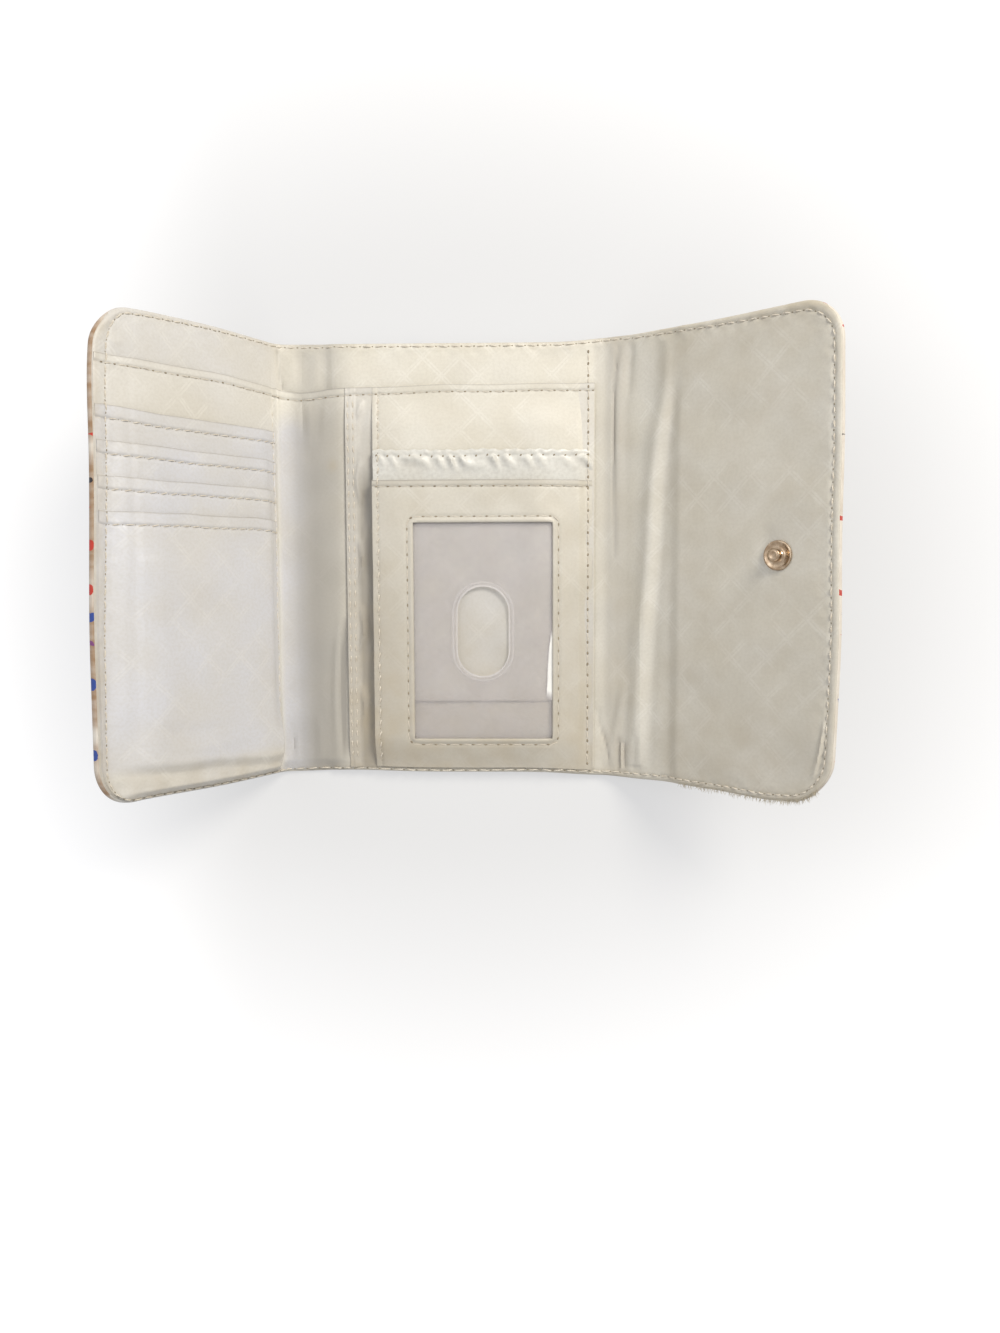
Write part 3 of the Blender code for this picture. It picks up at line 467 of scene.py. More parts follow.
@dataclass(frozen=True)
class WovenLining:
    """Polyester satin lining with a tone-on-tone woven diamond lattice.

    Filament yarn floats on the face, so it has a soft broad sheen, and the lattice shows where the
    weave turns. Handling has left it yellower at the folds, the seams and the wallet's lower edge.

    Args:
        name: The material's name.
        ground: Colour of clean cloth.
        cool: Colour that the cloth turns where the tint attribute is 1.
        dulled: Colour of painted shade, where the dull attribute is 1.
        soiled: Colour of worn cloth, where the wear attribute is 1.
        mottled: Colour of its broad mottling.
        shining: Colour of the lattice, painted lighter in patches where it would catch the light.
        flecked: Colour between its yarns.
        lattice_mm: Distance between two lattice lines.
        lattice_share: How strongly the lattice shows.
        line_offset: How far each of a double line's lines lies from its middle, in lattice distances.
        line_fade: Where such a line fades out and where it is full, in the same measure.
        patch_mm: Size of the patches in which the lattice shows.
        mottle_mm: Size of the broad mottling.
        fleck_mm: Size of the flecks between yarns.
        stain_mm: Size of the unevenness of its wear.
        roughness: Of the clean ground.
    """

    name: str = "woven_polyester_lining"
    ground: str = "#E2DDCF"
    cool: str = "#D5D5D8"
    dulled: str = "#9C978D"
    soiled: str = "#B1A285"
    mottled: str = "#CFC6AE"
    shining: str = "#FBF8EE"
    flecked: str = "#B7AF9C"
    lattice_mm: float = 8.4
    lattice_share: float = 0.38
    line_offset: float = 0.055
    line_fade: Point = (0.050, 0.022)
    patch_mm: float = 13.0
    mottle_mm: float = 24.0
    fleck_mm: float = 0.9
    stain_mm: float = 6.0
    roughness: float = 0.42

    def lattice(self, tree: Tree, place: Socket) -> Socket:
        """The lattice's double diagonal lines, 1 on a line."""
        parts = add(tree, SPLIT, place).node.outputs
        masks = []
        for way in (ADD, SUBTRACT):
            diagonal = add(tree, way, parts[0], parts[1])
            line = add(
                tree, PINGPONG, add(tree, MULTIPLY, diagonal, 1 / (math.sqrt(2) * self.lattice_mm)), 0.5
            )
            near = add(tree, ABSOLUTE, add(tree, SUBTRACT, line, self.line_offset))
            masks.append(add(tree, STEP, near, *self.line_fade))
        return add(tree, MAXIMUM, *masks)

    def build(self) -> Material:
        """Makes the material."""
        material, tree, shader = start_material(self.name)
        place = cloth_millimetres(tree)
        tint, wear, dull = (add(tree, WORN_BY, attribute_name=name) for name in ("tint", "wear", "dull"))
        # The lattice shows in patches, as the light catches it: a painted sheen
        patches = add(tree, STEP, add(tree, NOISE, place, 1 / self.patch_mm, 1.0), 0.43, 0.62, 0.08, 1.0)
        strength = add(tree, STEP, tint, 0.2, 1.0, self.lattice_share, self.lattice_share / 2)
        lines = add(tree, MULTIPLY, add(tree, MULTIPLY, self.lattice(tree, place), patches), strength)
        # Yarns are 0.15 mm apart, and drawn at 0.45 mm so that they show
        weft = add(tree, YARNS, place, 1.1, 1.2, 2.0, 1.5, bands_direction="Y")
        fleck = add(tree, NOISE, place, 1 / self.fleck_mm, 3.0)
        mottle = add(tree, NOISE, place, 1 / self.mottle_mm, 2.0)
        uneven = add(tree, STEP, add(tree, NOISE, place, 1 / self.stain_mm, 3.0), 0.25, 0.75, 0.55, 1.1)
        colour = add(tree, MIX, tint, self.ground, self.cool)
        for share, other in (
            (add(tree, STEP, mottle, 0.3, 0.7, 0.0, 0.30), self.mottled),
            (add(tree, MULTIPLY, lines, 0.55), self.shining),
            (add(tree, STEP, fleck, 0.35, 0.7, 0.0, 0.16), self.flecked),
            # Painted shade, laid on the cloth in folds, gaps and creases and along lips
            (dull, self.dulled),
            (add(tree, MINIMUM, add(tree, MULTIPLY, wear, uneven), 1.0), self.soiled),
        ):
            colour = add(tree, MIX, share, colour, other)
        rough = add(tree, SUBTRACT, self.roughness, add(tree, MULTIPLY, lines, 0.13))
        fine = add(tree, ADD, add(tree, MULTIPLY, weft, 0.35), fleck)
        relief = add(tree, ADD, fine, add(tree, MULTIPLY, lines, 0.5))
        values = {
            "Base Color": colour,
            "Roughness": add(tree, ADD, rough, add(tree, MULTIPLY, fleck, 0.08)),
            "Normal": add(tree, RELIEF, relief, 0.22, 0.12 * MM),
            "Specular IOR Level": 0.6,
            "Sheen Weight": 0.20,
            "Sheen Roughness": 0.45,
        }
        fill(tree, shader, values)
        return material


@dataclass(frozen=True)
class RibbonSatin:
    """Polyester satin ribbon: long floats, so its gathers shine brightly on their crests.

    Args:
        name: The material's name.
        ground: Colour of the ribbon.
        shade: Colour between its yarns.
        soiled: Colour of worn ribbon, where the wear attribute is 1.
        fleck_mm: Size of the shades between yarns.
    """

    name: str = "polyester_satin_ribbon"
    ground: str = "#DBD9D0"
    shade: str = "#BDB9AE"
    soiled: str = "#B7A98C"
    fleck_mm: float = 1.2

    def build(self) -> Material:
        """Makes the material."""
        material, tree, shader = start_material(self.name)
        place = cloth_millimetres(tree)
        wear = add(tree, WORN_BY, attribute_name="wear")
        # Warp yarns run across the ribbon, 0.12 mm apart, drawn at 0.4 mm
        warp = add(tree, YARNS, place, 1.25, 2.0, 2.0, bands_direction="X")
        fleck = add(tree, NOISE, place, 1 / self.fleck_mm, 3.0)
        colour = add(tree, MIX, add(tree, STEP, fleck, 0.3, 0.75, 0.0, 0.45), self.ground, self.shade)
        relief = add(tree, ADD, add(tree, MULTIPLY, warp, 0.4), fleck)
        values = {
            "Base Color": add(tree, MIX, wear, colour, self.soiled),
            "Roughness": add(tree, STEP, fleck, 0.2, 0.8, 0.32, 0.44),
            "Normal": add(tree, RELIEF, relief, 0.15, 0.1 * MM),
            "Sheen Weight": 0.1,
        }
        fill(tree, shader, values)
        return material


@dataclass(frozen=True)
class PrintedCotton:
    """Printed cotton canvas: an off-white ground with small scattered brush strokes.

    Its plain weave is matt. The strokes are a generic design in red, blue and black.

    Args:
        name: The material's name.
        ground: Colour of the cloth.
        mottled: Colour of its mottling.
        shaded: Colour between its yarns.
        soiled: Colour where the edge is worn.
        inks: The strokes' colours.
        shares: Up to which chance a stroke has the first ink, and the second.
        cell_mm: Typical distance between two strokes.
        length_mm: Least and most half length of a stroke.
        width_mm: Half width of a stroke.
        ragged_mm: Size of the raggedness of its edge.
        mottle_mm: Size of the mottling.
        scuff_mm: Size of the unevenness of its wear.
    """

    name: str = "printed_cotton_canvas"
    ground: str = "#EFE9DC"
    mottled: str = "#E2D8C4"
    shaded: str = "#CFC3AC"
    soiled: str = "#A08060"
    inks: tuple[str, str, str] = ("#C23A2B", "#2F4A94", "#2B2729")
    shares: Point = (0.36, 0.66)
    cell_mm: float = 6.5
    length_mm: Point = (0.9, 2.6)
    width_mm: float = 0.62
    ragged_mm: float = 0.8
    mottle_mm: float = 14.0
    scuff_mm: float = 2.5

    def strokes(self, tree: Tree, place: Socket, under: Socket) -> Socket:
        """Prints the strokes over a colour, one in most cells of a scattered pattern."""
        cells = add(tree, CELLS, place, 1 / self.cell_mm, 0.8).node.outputs
        chance = add(tree, SPLIT_COLOUR, cells["Color"]).node.outputs
        turn = add(tree, MULTIPLY, chance[0], math.tau)
        turned = add(tree, TURN, add(tree, BETWEEN, place, cells["Position"]), turn)
        parts = add(tree, SPLIT, turned).node.outputs
        along = add(tree, DIVIDE, parts[0], add(tree, STEP, chance[1], 0.0, 1.0, *self.length_mm))
        curve = add(tree, MULTIPLY, add(tree, MULTIPLY, along, along), 0.5)
        across = add(tree, DIVIDE, add(tree, SUBTRACT, parts[1], curve), self.width_mm)
        squares = [add(tree, MULTIPLY, part, part) for part in (along, across)]
        ragged = add(tree, MULTIPLY, add(tree, NOISE, place, 1 / self.ragged_mm, 2.0), 0.9)
        inked = add(tree, STEP, add(tree, ADD, add(tree, ADD, *squares), ragged), 1.42, 1.22)
        ink = self.inks[0]
        for share, other in zip(self.shares, self.inks[1:]):
            ink = add(tree, MIX, add(tree, STEP, chance[2], share, share + 0.01), ink, other)
        return add(tree, MIX, inked, under, ink)

    def build(self) -> Material:
        """Makes the material."""
        material, tree, shader = start_material(self.name)
        place = cloth_millimetres(tree)
        wear = add(tree, WORN_BY, attribute_name="wear")
        # Yarns are 0.4 mm apart, drawn at 0.5 mm
        weave = add(
            tree, MULTIPLY, *(add(tree, YARNS, place, 1.0, 0.8, 1.0, bands_direction=way) for way in "XY")
        )
        mottle = add(tree, NOISE, place, 1 / self.mottle_mm, 3.0)
        uneven = add(tree, STEP, add(tree, NOISE, place, 1 / self.scuff_mm, 3.0), 0.3, 0.7, 0.7, 1.0)
        colour = add(tree, MIX, add(tree, STEP, mottle, 0.35, 0.7, 0.0, 0.35), self.ground, self.mottled)
        colour = add(tree, MIX, add(tree, MULTIPLY, weave, 0.18), colour, self.shaded)
        colour = add(tree, MIX, add(tree, MULTIPLY, wear, uneven), colour, self.soiled)
        values = {
            "Base Color": self.strokes(tree, place, colour),
            "Roughness": add(tree, STEP, mottle, 0.2, 0.8, 0.72, 0.86),
            "Normal": add(tree, RELIEF, weave, 0.35, 0.2 * MM),
            "Sheen Weight": 0.15,
        }
        fill(tree, shader, values)
        return material


@dataclass(frozen=True)
class Plain:
    """A finish with one mottled colour: thread, board, foil or nickel.

    Args:
        name: The material's name.
        ground: Main colour.
        second: Colour of its mottling.
        size_mm: Size of the mottling.
        roughness: Least and most roughness.
        metallic: 1 for metal.
        relief_mm: Height of its surface relief.
    """

    name: str
    ground: str
    second: str
    size_mm: float
    roughness: Point
    metallic: float = 0.0
    relief_mm: float = 0.03

    def build(self) -> Material:
        """Makes the material, on Object coordinates."""
        material, tree, shader = start_material(self.name)
        place = add(tree, SCALE, add(tree, ON_OBJECT), 1 / MM)
        mottle = add(tree, NOISE, place, 1 / self.size_mm, 4.0)
        values = {
            "Base Color": add(tree, MIX, add(tree, STEP, mottle, 0.3, 0.7), self.ground, self.second),
            "Roughness": add(tree, STEP, mottle, 0.25, 0.75, *self.roughness),
            "Metallic": self.metallic,
            "Normal": add(tree, RELIEF, mottle, 0.3, self.relief_mm * MM),
        }
        fill(tree, shader, values)
        return material


@dataclass(frozen=True)
class ClearVinyl:
    """Calendered clear vinyl, slightly cloudy with age and whitened where it has been creased; a white band
    along the window's right edge is a painted glint.

    Args:
        name: The material's name.
        ground: Its faint tint.
        creased: Colour of a stress-whitened crease, and of the painted glint, where the wear attribute is 1.
        alpha: Opacity of the clear film.
        haze_mm: Size of its cloudiness.
        scuff_mm: Size of its scuffs.
        ior: Index of refraction of vinyl.
    """

    name: str = "calendered_vinyl_film"
    ground: str = "#D8D2D0"
    creased: str = "#FBFAF2"
    alpha: float = 0.22
    haze_mm: float = 9.0
    scuff_mm: float = 0.7
    ior: float = 1.53

    def build(self) -> Material:
        """Makes the material."""
        material, tree, shader = start_material(self.name)
        place = cloth_millimetres(tree)
        wear = add(tree, WORN_BY, attribute_name="wear")
        haze = add(tree, NOISE, place, 1 / self.haze_mm, 3.0)
        # Scuffs are 0.05 mm wide, drawn at 0.3 mm
        scuff = add(tree, STEP, add(tree, NOISE, place, 1 / self.scuff_mm, 4.0), 0.60, 0.72, 0.0, 0.05)
        clouded = add(tree, ADD, add(tree, STEP, haze, 0.3, 0.7, 0.0, 0.07), scuff)
        alpha = add(tree, ADD, add(tree, ADD, clouded, self.alpha), wear)
        values = {
            "Base Color": add(tree, MIX, wear, self.ground, self.creased),
            "Roughness": add(tree, STEP, haze, 0.25, 0.75, 0.08, 0.16),
            "Alpha": add(tree, MINIMUM, alpha, 1.0),
            "Normal": add(tree, RELIEF, haze, 0.3, 0.3 * MM),
            "IOR": self.ior,
            "Specular IOR Level": 0.6,
        }
        fill(tree, shader, values)
        return material


class Finishes:
    """Every material of the wallet, each made once."""

    def __init__(self) -> None:
        """Makes the materials."""
        self.lining = WovenLining().build()
        self.ribbon = RibbonSatin().build()
        self.print = PrintedCotton().build()
        # Spun polyester sewing thread, twisted and slightly glossy
        self.thread = Plain("polyester_thread", "#DFD7C7", "#CBC1AF", 0.5, (0.45, 0.65)).build()
        # Loose yarn ends, greyer than the thread
        self.fray = Plain("frayed_polyester_yarn", "#CDC3AD", "#B5A98F", 0.8, (0.5, 0.7)).build()
        # Where the needle went through, the hole is deep; its dark mark is painted shade
        self.hole = Plain("needle_hole_shade", "#A0957F", "#897D69", 0.6, (0.85, 0.95)).build()
        self.vinyl = ClearVinyl().build()
        # Nickel plate over pressed brass, rubbed warm on its edges
        self.nickel = Plain(
            "worn_nickel_plate", "#B19D84", "#907960", 1.6, (0.22, 0.36), 1.0, 0.006
        ).build()
        self.board = Plain("bonded_fibre_board", "#E2E0DA", "#CFCCC4", 1.5, (0.85, 0.95)).build()
        self.foil = Plain("metallised_film", "#B9BBC0", "#A6A8AE", 3.0, (0.25, 0.4), 1.0).build()


# Meshes


def ticks(fixed: Iterable[float], spacing: float) -> Array:
    """Grid line places that hit some fixed ones and fill the gaps between them evenly.

    Args:
        fixed: Places that a line has to pass.
        spacing: The widest gap allowed.

    Returns:
        All the places, in order.
    """
    known = sorted({round(place, 7) for place in fixed})
    found = [known[0]]
    for low, high in zip(known, known[1:]):
        count = max(1, math.ceil((high - low) / spacing - 0.001))
        found += list(np.linspace(low, high, count + 1)[1:])
    return np.array(found)


RING_STEPS = (
    0, 0.1, 0.25, 0.5, 0.85, 1.2, 1.5, 1.8, 2.15, 2.5, 2.8, 3.15, 3.55, 3.9, 4.25, 4.8, 5.6, 6.6, 8, 9.5, 12
)
EDGE_RINGS = tuple(MM * d for d in RING_STEPS)
LIP_STEPS = (0, 0.07, 0.18, 0.35, 0.7, 1.1, 1.5, 1.8, 2.1, 2.5, 2.9, 3.3, 3.55, 3.8, 4.05, 4.4, 5.0)
LIP_RINGS = tuple(MM * d for d in LIP_STEPS)


@dataclass
class Plan:
    """A layer's grid in the plan, square or with round corners on its free sides.

    Args:
        start: Where it starts along the cloth.
        end: Where it ends.
        floor: Its lower edge.
        ceiling: Its upper edge.
        spacing: The grid's widest gap.
        rounded: Which corners are round, as pairs of 0 or 1 for start or end and floor or ceiling.
        radius: Their radius.
        rings: Fine lines near each edge: start, end, floor and ceiling.
        lines: More places that grid lines pass, along the cloth and up it.
    """

    start: float
    end: float
    floor: float
    ceiling: float
    spacing: float = 0.95 * MM
    rounded: tuple[tuple[int, int], ...] = ()
    radius: float = Wallet.CORNER_RADIUS
    rings: tuple[Sequence[float], ...] = ((0.0,), (0.0,), EDGE_RINGS, EDGE_RINGS)
    lines: tuple[Sequence[float], Sequence[float]] = ((), ())

    def grid(self) -> Pair:
        """The grid's places along and up the cloth."""
        at_start, at_end, at_floor, at_ceiling = self.rings
        across = [self.start + d for d in at_start] + [self.end - d for d in at_end]
        up = [self.floor + d for d in at_floor] + [self.ceiling - d for d in at_ceiling]
        columns = ticks([*across, *(x for x in self.lines[0] if self.start < x < self.end)], self.spacing)
        rows = ticks([*up, *(y for y in self.lines[1] if self.floor < y < self.ceiling)], self.spacing)
        s, v = np.meshgrid(columns, rows, indexing="ij")
        for corner in self.rounded:
            s, v = self.round_corner(s, v, *corner)
        return s, v

    def round_corner(self, s: Array, v: Array, at_end: int, at_top: int) -> Pair:
        """Moves a corner's square rings onto arcs at the same distance from the edge."""
        middle_s = self.end - self.radius if at_end else self.start + self.radius
        middle_v = self.ceiling - self.radius if at_top else self.floor + self.radius
        across = (s - middle_s) * (1 if at_end else -1)
        along = (v - middle_v) * (1 if at_top else -1)
        inside = (across > 0) & (along > 0)
        most = np.maximum(across, along)
        least = np.minimum(across, along)
        turn = math.pi / 4 * least / np.where(most > 0, most, 1.0)
        near, far = most * np.cos(turn), most * np.sin(turn)
        new_across = np.where(across >= along, near, far) * (1 if at_end else -1)
        new_along = np.where(across >= along, far, near) * (1 if at_top else -1)
        return np.where(inside, middle_s + new_across, s), np.where(inside, middle_v + new_along, v)


def make_mesh(
    name: str,
    points: Array,
    faces: Sequence[Sequence[int]],
    material: Material,
    uv: Array | None = None,
    attributes: dict[str, Array] | None = None,
    sharp_degrees: float = 50.0,
) -> Piece:
    """Makes a smooth-shaded mesh object at the origin.

    Args:
        name: The piece's name.
        points: Its vertices in the row frame.
        faces: Vertex numbers of each face, anticlockwise from outside.
        material: Its material.
        uv: Place of each vertex on the cloth, in metres.
        attributes: One number for each vertex, by attribute name.
        sharp_degrees: Edges sharper than this stay crisp.

    Returns:
        The new object.
    """
    data = bpy.data.meshes.new(name)
    data.from_pydata(points.tolist(), [], faces if isinstance(faces, list) else faces.tolist())
    data.materials.append(material)
    if uv is not None:
        layer = data.uv_layers.new(name="cloth")
        corners = np.zeros(len(data.loops), np.int32)
        data.loops.foreach_get("vertex_index", corners)
        layer.data.foreach_set("uv", (uv[corners] * UV_PER_METRE).astype(np.float32).ravel())
    for label, values in (attributes or {}).items():
        attribute = data.attributes.new(label, "FLOAT", "POINT")
        attribute.data.foreach_set("value", np.asarray(values, np.float32).ravel())
    data.shade_smooth()
    data.set_sharp_from_angle(angle=math.radians(sharp_degrees))
    data.validate()
    piece = bpy.data.objects.new(name, data)
    bpy.context.scene.collection.objects.link(piece)
    return piece


def shell(s: Array, v: Array, top: Array, bottom: Array, keep: Array | None = None) -> Shell:
    """A closed thin shell between two height fields on one grid.

    Args:
        s: The grid's places along the cloth.
        v: Its places up the cloth.
        top: Heights of the upper face.
        bottom: Heights of the lower face.
        keep: Which grid cells are there; all if it isn't given.

    Returns:
        The vertices, the faces and each vertex's place in the plan.
    """
    columns, rows = s.shape
    number = np.arange(columns * rows).reshape(columns, rows)
    cells = np.stack([number[:-1, :-1], number[1:, :-1], number[1:, 1:], number[:-1, 1:]], axis=-1)
    if keep is not None:
        cells = cells[keep]
    cells = cells.reshape(-1, 4)
    edges = np.concatenate([cells[:, [n, (n + 1) % 4]] for n in range(4)])
    codes = edges[:, 0] * number.size + edges[:, 1]
    opposite = edges[:, 1] * number.size + edges[:, 0]
    rim = edges[~np.isin(codes, opposite)]
    below = number.size
    walls = np.stack([rim[:, 0] + below, rim[:, 1] + below, rim[:, 1], rim[:, 0]], axis=-1)
    faces = np.concatenate([cells, cells[:, ::-1] + below, walls])
    points = np.concatenate([WALLET.place(s, v, h).reshape(-1, 3) for h in (top, bottom)])
    plan = np.tile(np.stack([s.ravel(), v.ravel()], axis=-1), (2, 1))
    used, renumbered = np.unique(faces, return_inverse=True)
    return points[used], renumbered.reshape(faces.shape), plan[used]


@dataclass(frozen=True)
class Crease:
    """A soft ridge in cloth along a curved line, or a valley where its height is negative.

    Args:
        points: Places along and up the cloth that the line passes, in millimetres.
        width_mm: Its half width.
        height_mm: Its height.
        taper: How quickly its ends fade; 0 keeps them full.
        shade: How much painted shade it lays along its line.
    """

    points: tuple[Point, ...]
    width_mm: float
    height_mm: float
    taper: float = 0.7
    shade: float = 0.0

    def line(self) -> Array:
        """The smooth line through the points."""
        known = np.array(self.points) * MM
        padded = np.concatenate([[2 * known[0] - known[1]], known, [2 * known[-1] - known[-2]]])
        found = []
        for n in range(len(known) - 1):
            a, b, c, d = padded[n : n + 4]
            for t in np.linspace(0.0, 1.0, 7)[: None if n == len(known) - 2 else -1]:
                found.append(
                    0.5 * (
                        2 * b + (c - a) * t + (
                            2 * a - 5 * b + 4 * c - d
                        ) * t**2 + (3 * b - a - 3 * c + d) * t**3
                    )
                )
        return np.array(found)

    def lift(self, s: Array, v: Array) -> Array:
        """How far the crease lifts the cloth at each place."""
        return self.height_mm * MM * self.profile(s, v)

    def profile(self, s: Array, v: Array) -> Array:
        """The crease's share at each place, 1 on its line."""
        line = self.line()
        steps = np.linalg.norm(np.diff(line, axis=0), axis=1)
        run = np.concatenate([[0.0], np.cumsum(steps)]) / steps.sum()
        best = np.full(np.shape(s), np.inf)
        along = np.zeros(np.shape(s))
        for first, second, low, high in zip(line, line[1:], run, run[1:]):
            way = second - first
            share = ((s - first[0]) * way[0] + (v - first[1]) * way[1]) / (way @ way)
            share = np.clip(share, 0.0, 1.0)
            gap = (s - first[0] - share * way[0]) ** 2 + (v - first[1] - share * way[1]) ** 2
            nearer = gap < best
            best = np.where(nearer, gap, best)
            along = np.where(nearer, low + share * (high - low), along)
        fade = np.sin(math.pi * np.clip(along, 0.0, 1.0)) ** self.taper if self.taper else 1.0
        return fade * np.exp(-best / (self.width_mm * MM) ** 2)


@dataclass
class Cloth:
    """One layer of cloth: its plan, its upper face and how it is made and carried.

    Args:
        name: The piece's name.
        plan: Its grid.
        top: The height of its upper face at each place.
        thickness: The cloth's thickness, or a field of it.
        material: Its finish.
        carry: What places it once it is made: baked where it lies, or hung on a body.
        replaces: The CAD nodes that it stands for.
        slot: The record's material slot; not used.
        rests_on: What it lies on; not used.
        held: How it is held; not used.
        wear: How worn it is at each place; in a few places it also carries painted light and painted shade.
        tint: How cool its colour is at each place.
        dull: How much painted shade darkens it at each place.
        hole: Places that are cut out, as a field above 0 there.
        warp: Moves the places of its grid.
    """

    name: str
    plan: Plan
    top: Field
    thickness: float | Field
    material: Material
    carry: Callable[[Piece], None]
    replaces: Sequence[str] = ()
    slot: str = "lining_satin"
    rests_on: Sequence[str] = ()
    held: str = "laid"
    wear: Field | None = None
    tint: Field | None = None
    dull: Field | None = None
    hole: Field | None = None
    warp: Callable[[Array, Array], Pair] | None = None

    def build(self) -> Piece:
        s, v = self.plan.grid()
        keep = None
        if self.hole is not None:
            middle = (s[:-1, :-1] + s[1:, 1:]) / 2, (v[:-1, :-1] + v[1:, 1:]) / 2
            keep = self.hole(*middle) <= 0
        if self.warp is not None:
            s, v = self.warp(s, v)
        top = self.top(s, v)
        thick = self.thickness(s, v) if callable(self.thickness) else self.thickness
        points, faces, plan = shell(s, v, top, top - thick, keep)
        labels = {}
        for label, values in (("wear", self.wear), ("tint", self.tint), ("dull", self.dull)):
            labels[label] = values(plan[:, 0], plan[:, 1]) if values else np.zeros(len(plan))
        piece = make_mesh(self.name, points, faces, self.material, plan, labels)
        self.carry(piece)
        if self.replaces:
            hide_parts(*self.replaces)
        LOG.info("%s: %d faces", self.name, len(faces))
        return piece


# Layers


def edge_roll(distance: Array, width: float) -> Array:
    """The rounding of a turned edge: 0 on the edge, rising like a quarter circle to 1."""
    share = np.clip(1.0 - distance / width, 0.0, 1.0)
    return np.sqrt(1.0 - share * share)


@dataclass
class Layers:
    """The height of every layer of cloth at each place. The stitched lines draw them together.

    Args:
        roll: Width of the rounded outer edge.
        seam_share: The part of the edge's thickness at which outer cloth and lining meet.
        groove: Depth of the groove that the edge stitching pulls.
        bead: Height of the bead of cloth outside it.
        pinched: Distance between two layers where stitching draws them together.
        hem: How much thicker a folded lip is.
        hem_width: How wide the fold of a card pocket's lip is.
    """

    roll: float = 1.5 * MM
    seam_share: float = 0.46
    groove: float = 0.20 * MM
    bead: float = 0.12 * MM
    pinched: float = 0.13 * MM
    hem: float = 0.22 * MM
    hem_width: float = 3.7 * MM
    bill_hem: float = 2.5 * MM
    block_hem: float = 2.3 * MM
    frame_hem: float = 2.0 * MM
    split: float = 0.62 * MM
    creases: dict[str, Sequence[Crease]] = field(default_factory=dict)

    def rumple(self, layer: str, s: Array, v: Array) -> Array:
        """What the creases of one layer add at each place."""
        return sum((crease.lift(s, v) for crease in self.creases[layer]), np.zeros(np.shape(s)))

    def shade(self, layer: str, s: Array, v: Array) -> Array:
        """How much painted shade the creases of one layer lay at each place."""
        shaded = (crease for crease in self.creases[layer] if crease.shade)
        return sum((crease.shade * crease.profile(s, v) for crease in shaded), np.zeros(np.shape(s)))

    def beside(self, s: Array, v: Array) -> Array:
        """How far a place belongs to the wallet's left and right edges rather than its long ones, 0 to 1."""
        radius = WALLET.CORNER_RADIUS
        along = np.clip((np.abs(v) - WALLET.half + radius) / radius, 0.0, 1.0)
        at_left = np.clip((WALLET.low_s + radius - s) / radius, 0.0, 1.0)
        at_right = np.clip((s - WALLET.high_s + radius) / radius, 0.0, 1.0)
        aside = np.maximum(at_left, at_right)
        return aside**2 / (aside**2 + along**2 + 1e-9)

    def turn_in(self, s: Array, v: Array) -> Array:
        """How far in from the edge the outer cloth's turned edge reaches over the lining's."""
        split = np.where(s < 0, self.split, 0.7 * self.split)
        return split * smooth(self.beside(s, v), 0.02, 0.6)

    def tuck(self, s: Array, v: Array) -> Pair:
        """Draws the lining's edge back under the outer cloth's turned edge."""
        tiny, hidden = 0.02 * MM, 0.5 * MM
        distance = WALLET.edge_distance(s, v)
        across = (WALLET.edge_distance(s + tiny, v) - WALLET.edge_distance(s - tiny, v)) / (2 * tiny)
        up = (WALLET.edge_distance(s, v + tiny) - WALLET.edge_distance(s, v - tiny)) / (2 * tiny)
        move = np.maximum(self.turn_in(s, v) - hidden, 0.0) * np.clip(1 - distance / (9 * MM), 0.0, 1.0)
        return s + move * across, v + move * up

    def inset(self, s: Array, v: Array) -> Array:
        """How far in from the edge the edge stitching runs."""
        places = [MM * d for d in (-85, -20, 45, 95, 165)]
        above, under = (
            np.interp(s, places, [MM * d for d in known])
            for known in ((1.9, 1.1, 1.3, 1.1, 3.0), (0.9, 0.9, 0.9, 1.6, 1.9))
        )
        level = np.where(v > 0, above, under)
        aside = np.where(s < 0, 3.5 * MM + 0.018 * np.asarray(v), 2.5 * MM)
        return level + self.beside(s, v) * (aside - level)

    def base(self, s: Array) -> Array:
        """The lining's level along the cloth, away from its edges. It drops beyond each board."""
        spine, soft = WALLET.spine_lining, 4.4 * MM
        changes = [
            (WALLET.card_fold + 1.4 * MM, 6 * MM, spine),
            (-0.8 * MM, soft, WALLET.lining),
            (WALLET.centre + 4.2 * MM, 7 * MM, spine),
            (WALLET.snap_fold - 0.9 * MM, soft, WALLET.snap_lining),
        ]
        return levels(s, WALLET.lining, changes)

    def edge(self, s: Array, v: Array) -> Array:
        """The thickness at which the outer cloth and the lining meet on the edge."""
        return self.base(s) * self.seam_share

    def lining(self, s: Array, v: Array) -> Array:
        """The lining's upper face."""
        distance = WALLET.edge_distance(s, v)
        base = self.base(s)
        edge = self.edge(s, v)
        inset = self.inset(s, v)
        foot = smooth(s, WALLET.card_fold + 6 * MM, WALLET.card_fold - 6 * MM) * smooth(v, 0 * MM, -50 * MM)
        tight = np.maximum(foot, smooth(s, WALLET.high_s - 9 * MM, WALLET.high_s - 4 * MM))
        rolled = edge + (base - edge) * edge_roll(distance, self.roll * (1 - 0.45 * tight))
        ruck = 1.0 + 0.45 * waves(s, v, 3, 3.6 * MM, 5)
        groove = self.groove * bump(distance, inset, 0.55 * MM) * ruck
        # The stitches pinch the cloth outside them into puffs, most along the centre's top
        puffs = (
            1.6 * np.cos(math.tau * s / (4.1 * MM)) * bump(s, 48 * MM, 50 * MM) * smooth(v, 0 * MM, 60 * MM)
        )
        bead = self.bead * (1 + 0.5 * waves(s, v, 4, 4 * MM, 5) + puffs)
        bead = bead * bump(distance, inset / 2 + 0.3 * MM, 0.9 * MM) * smooth(inset, 0.4 * MM, 2 * MM)
        inner = smooth(distance, inset, inset + 5 * MM)
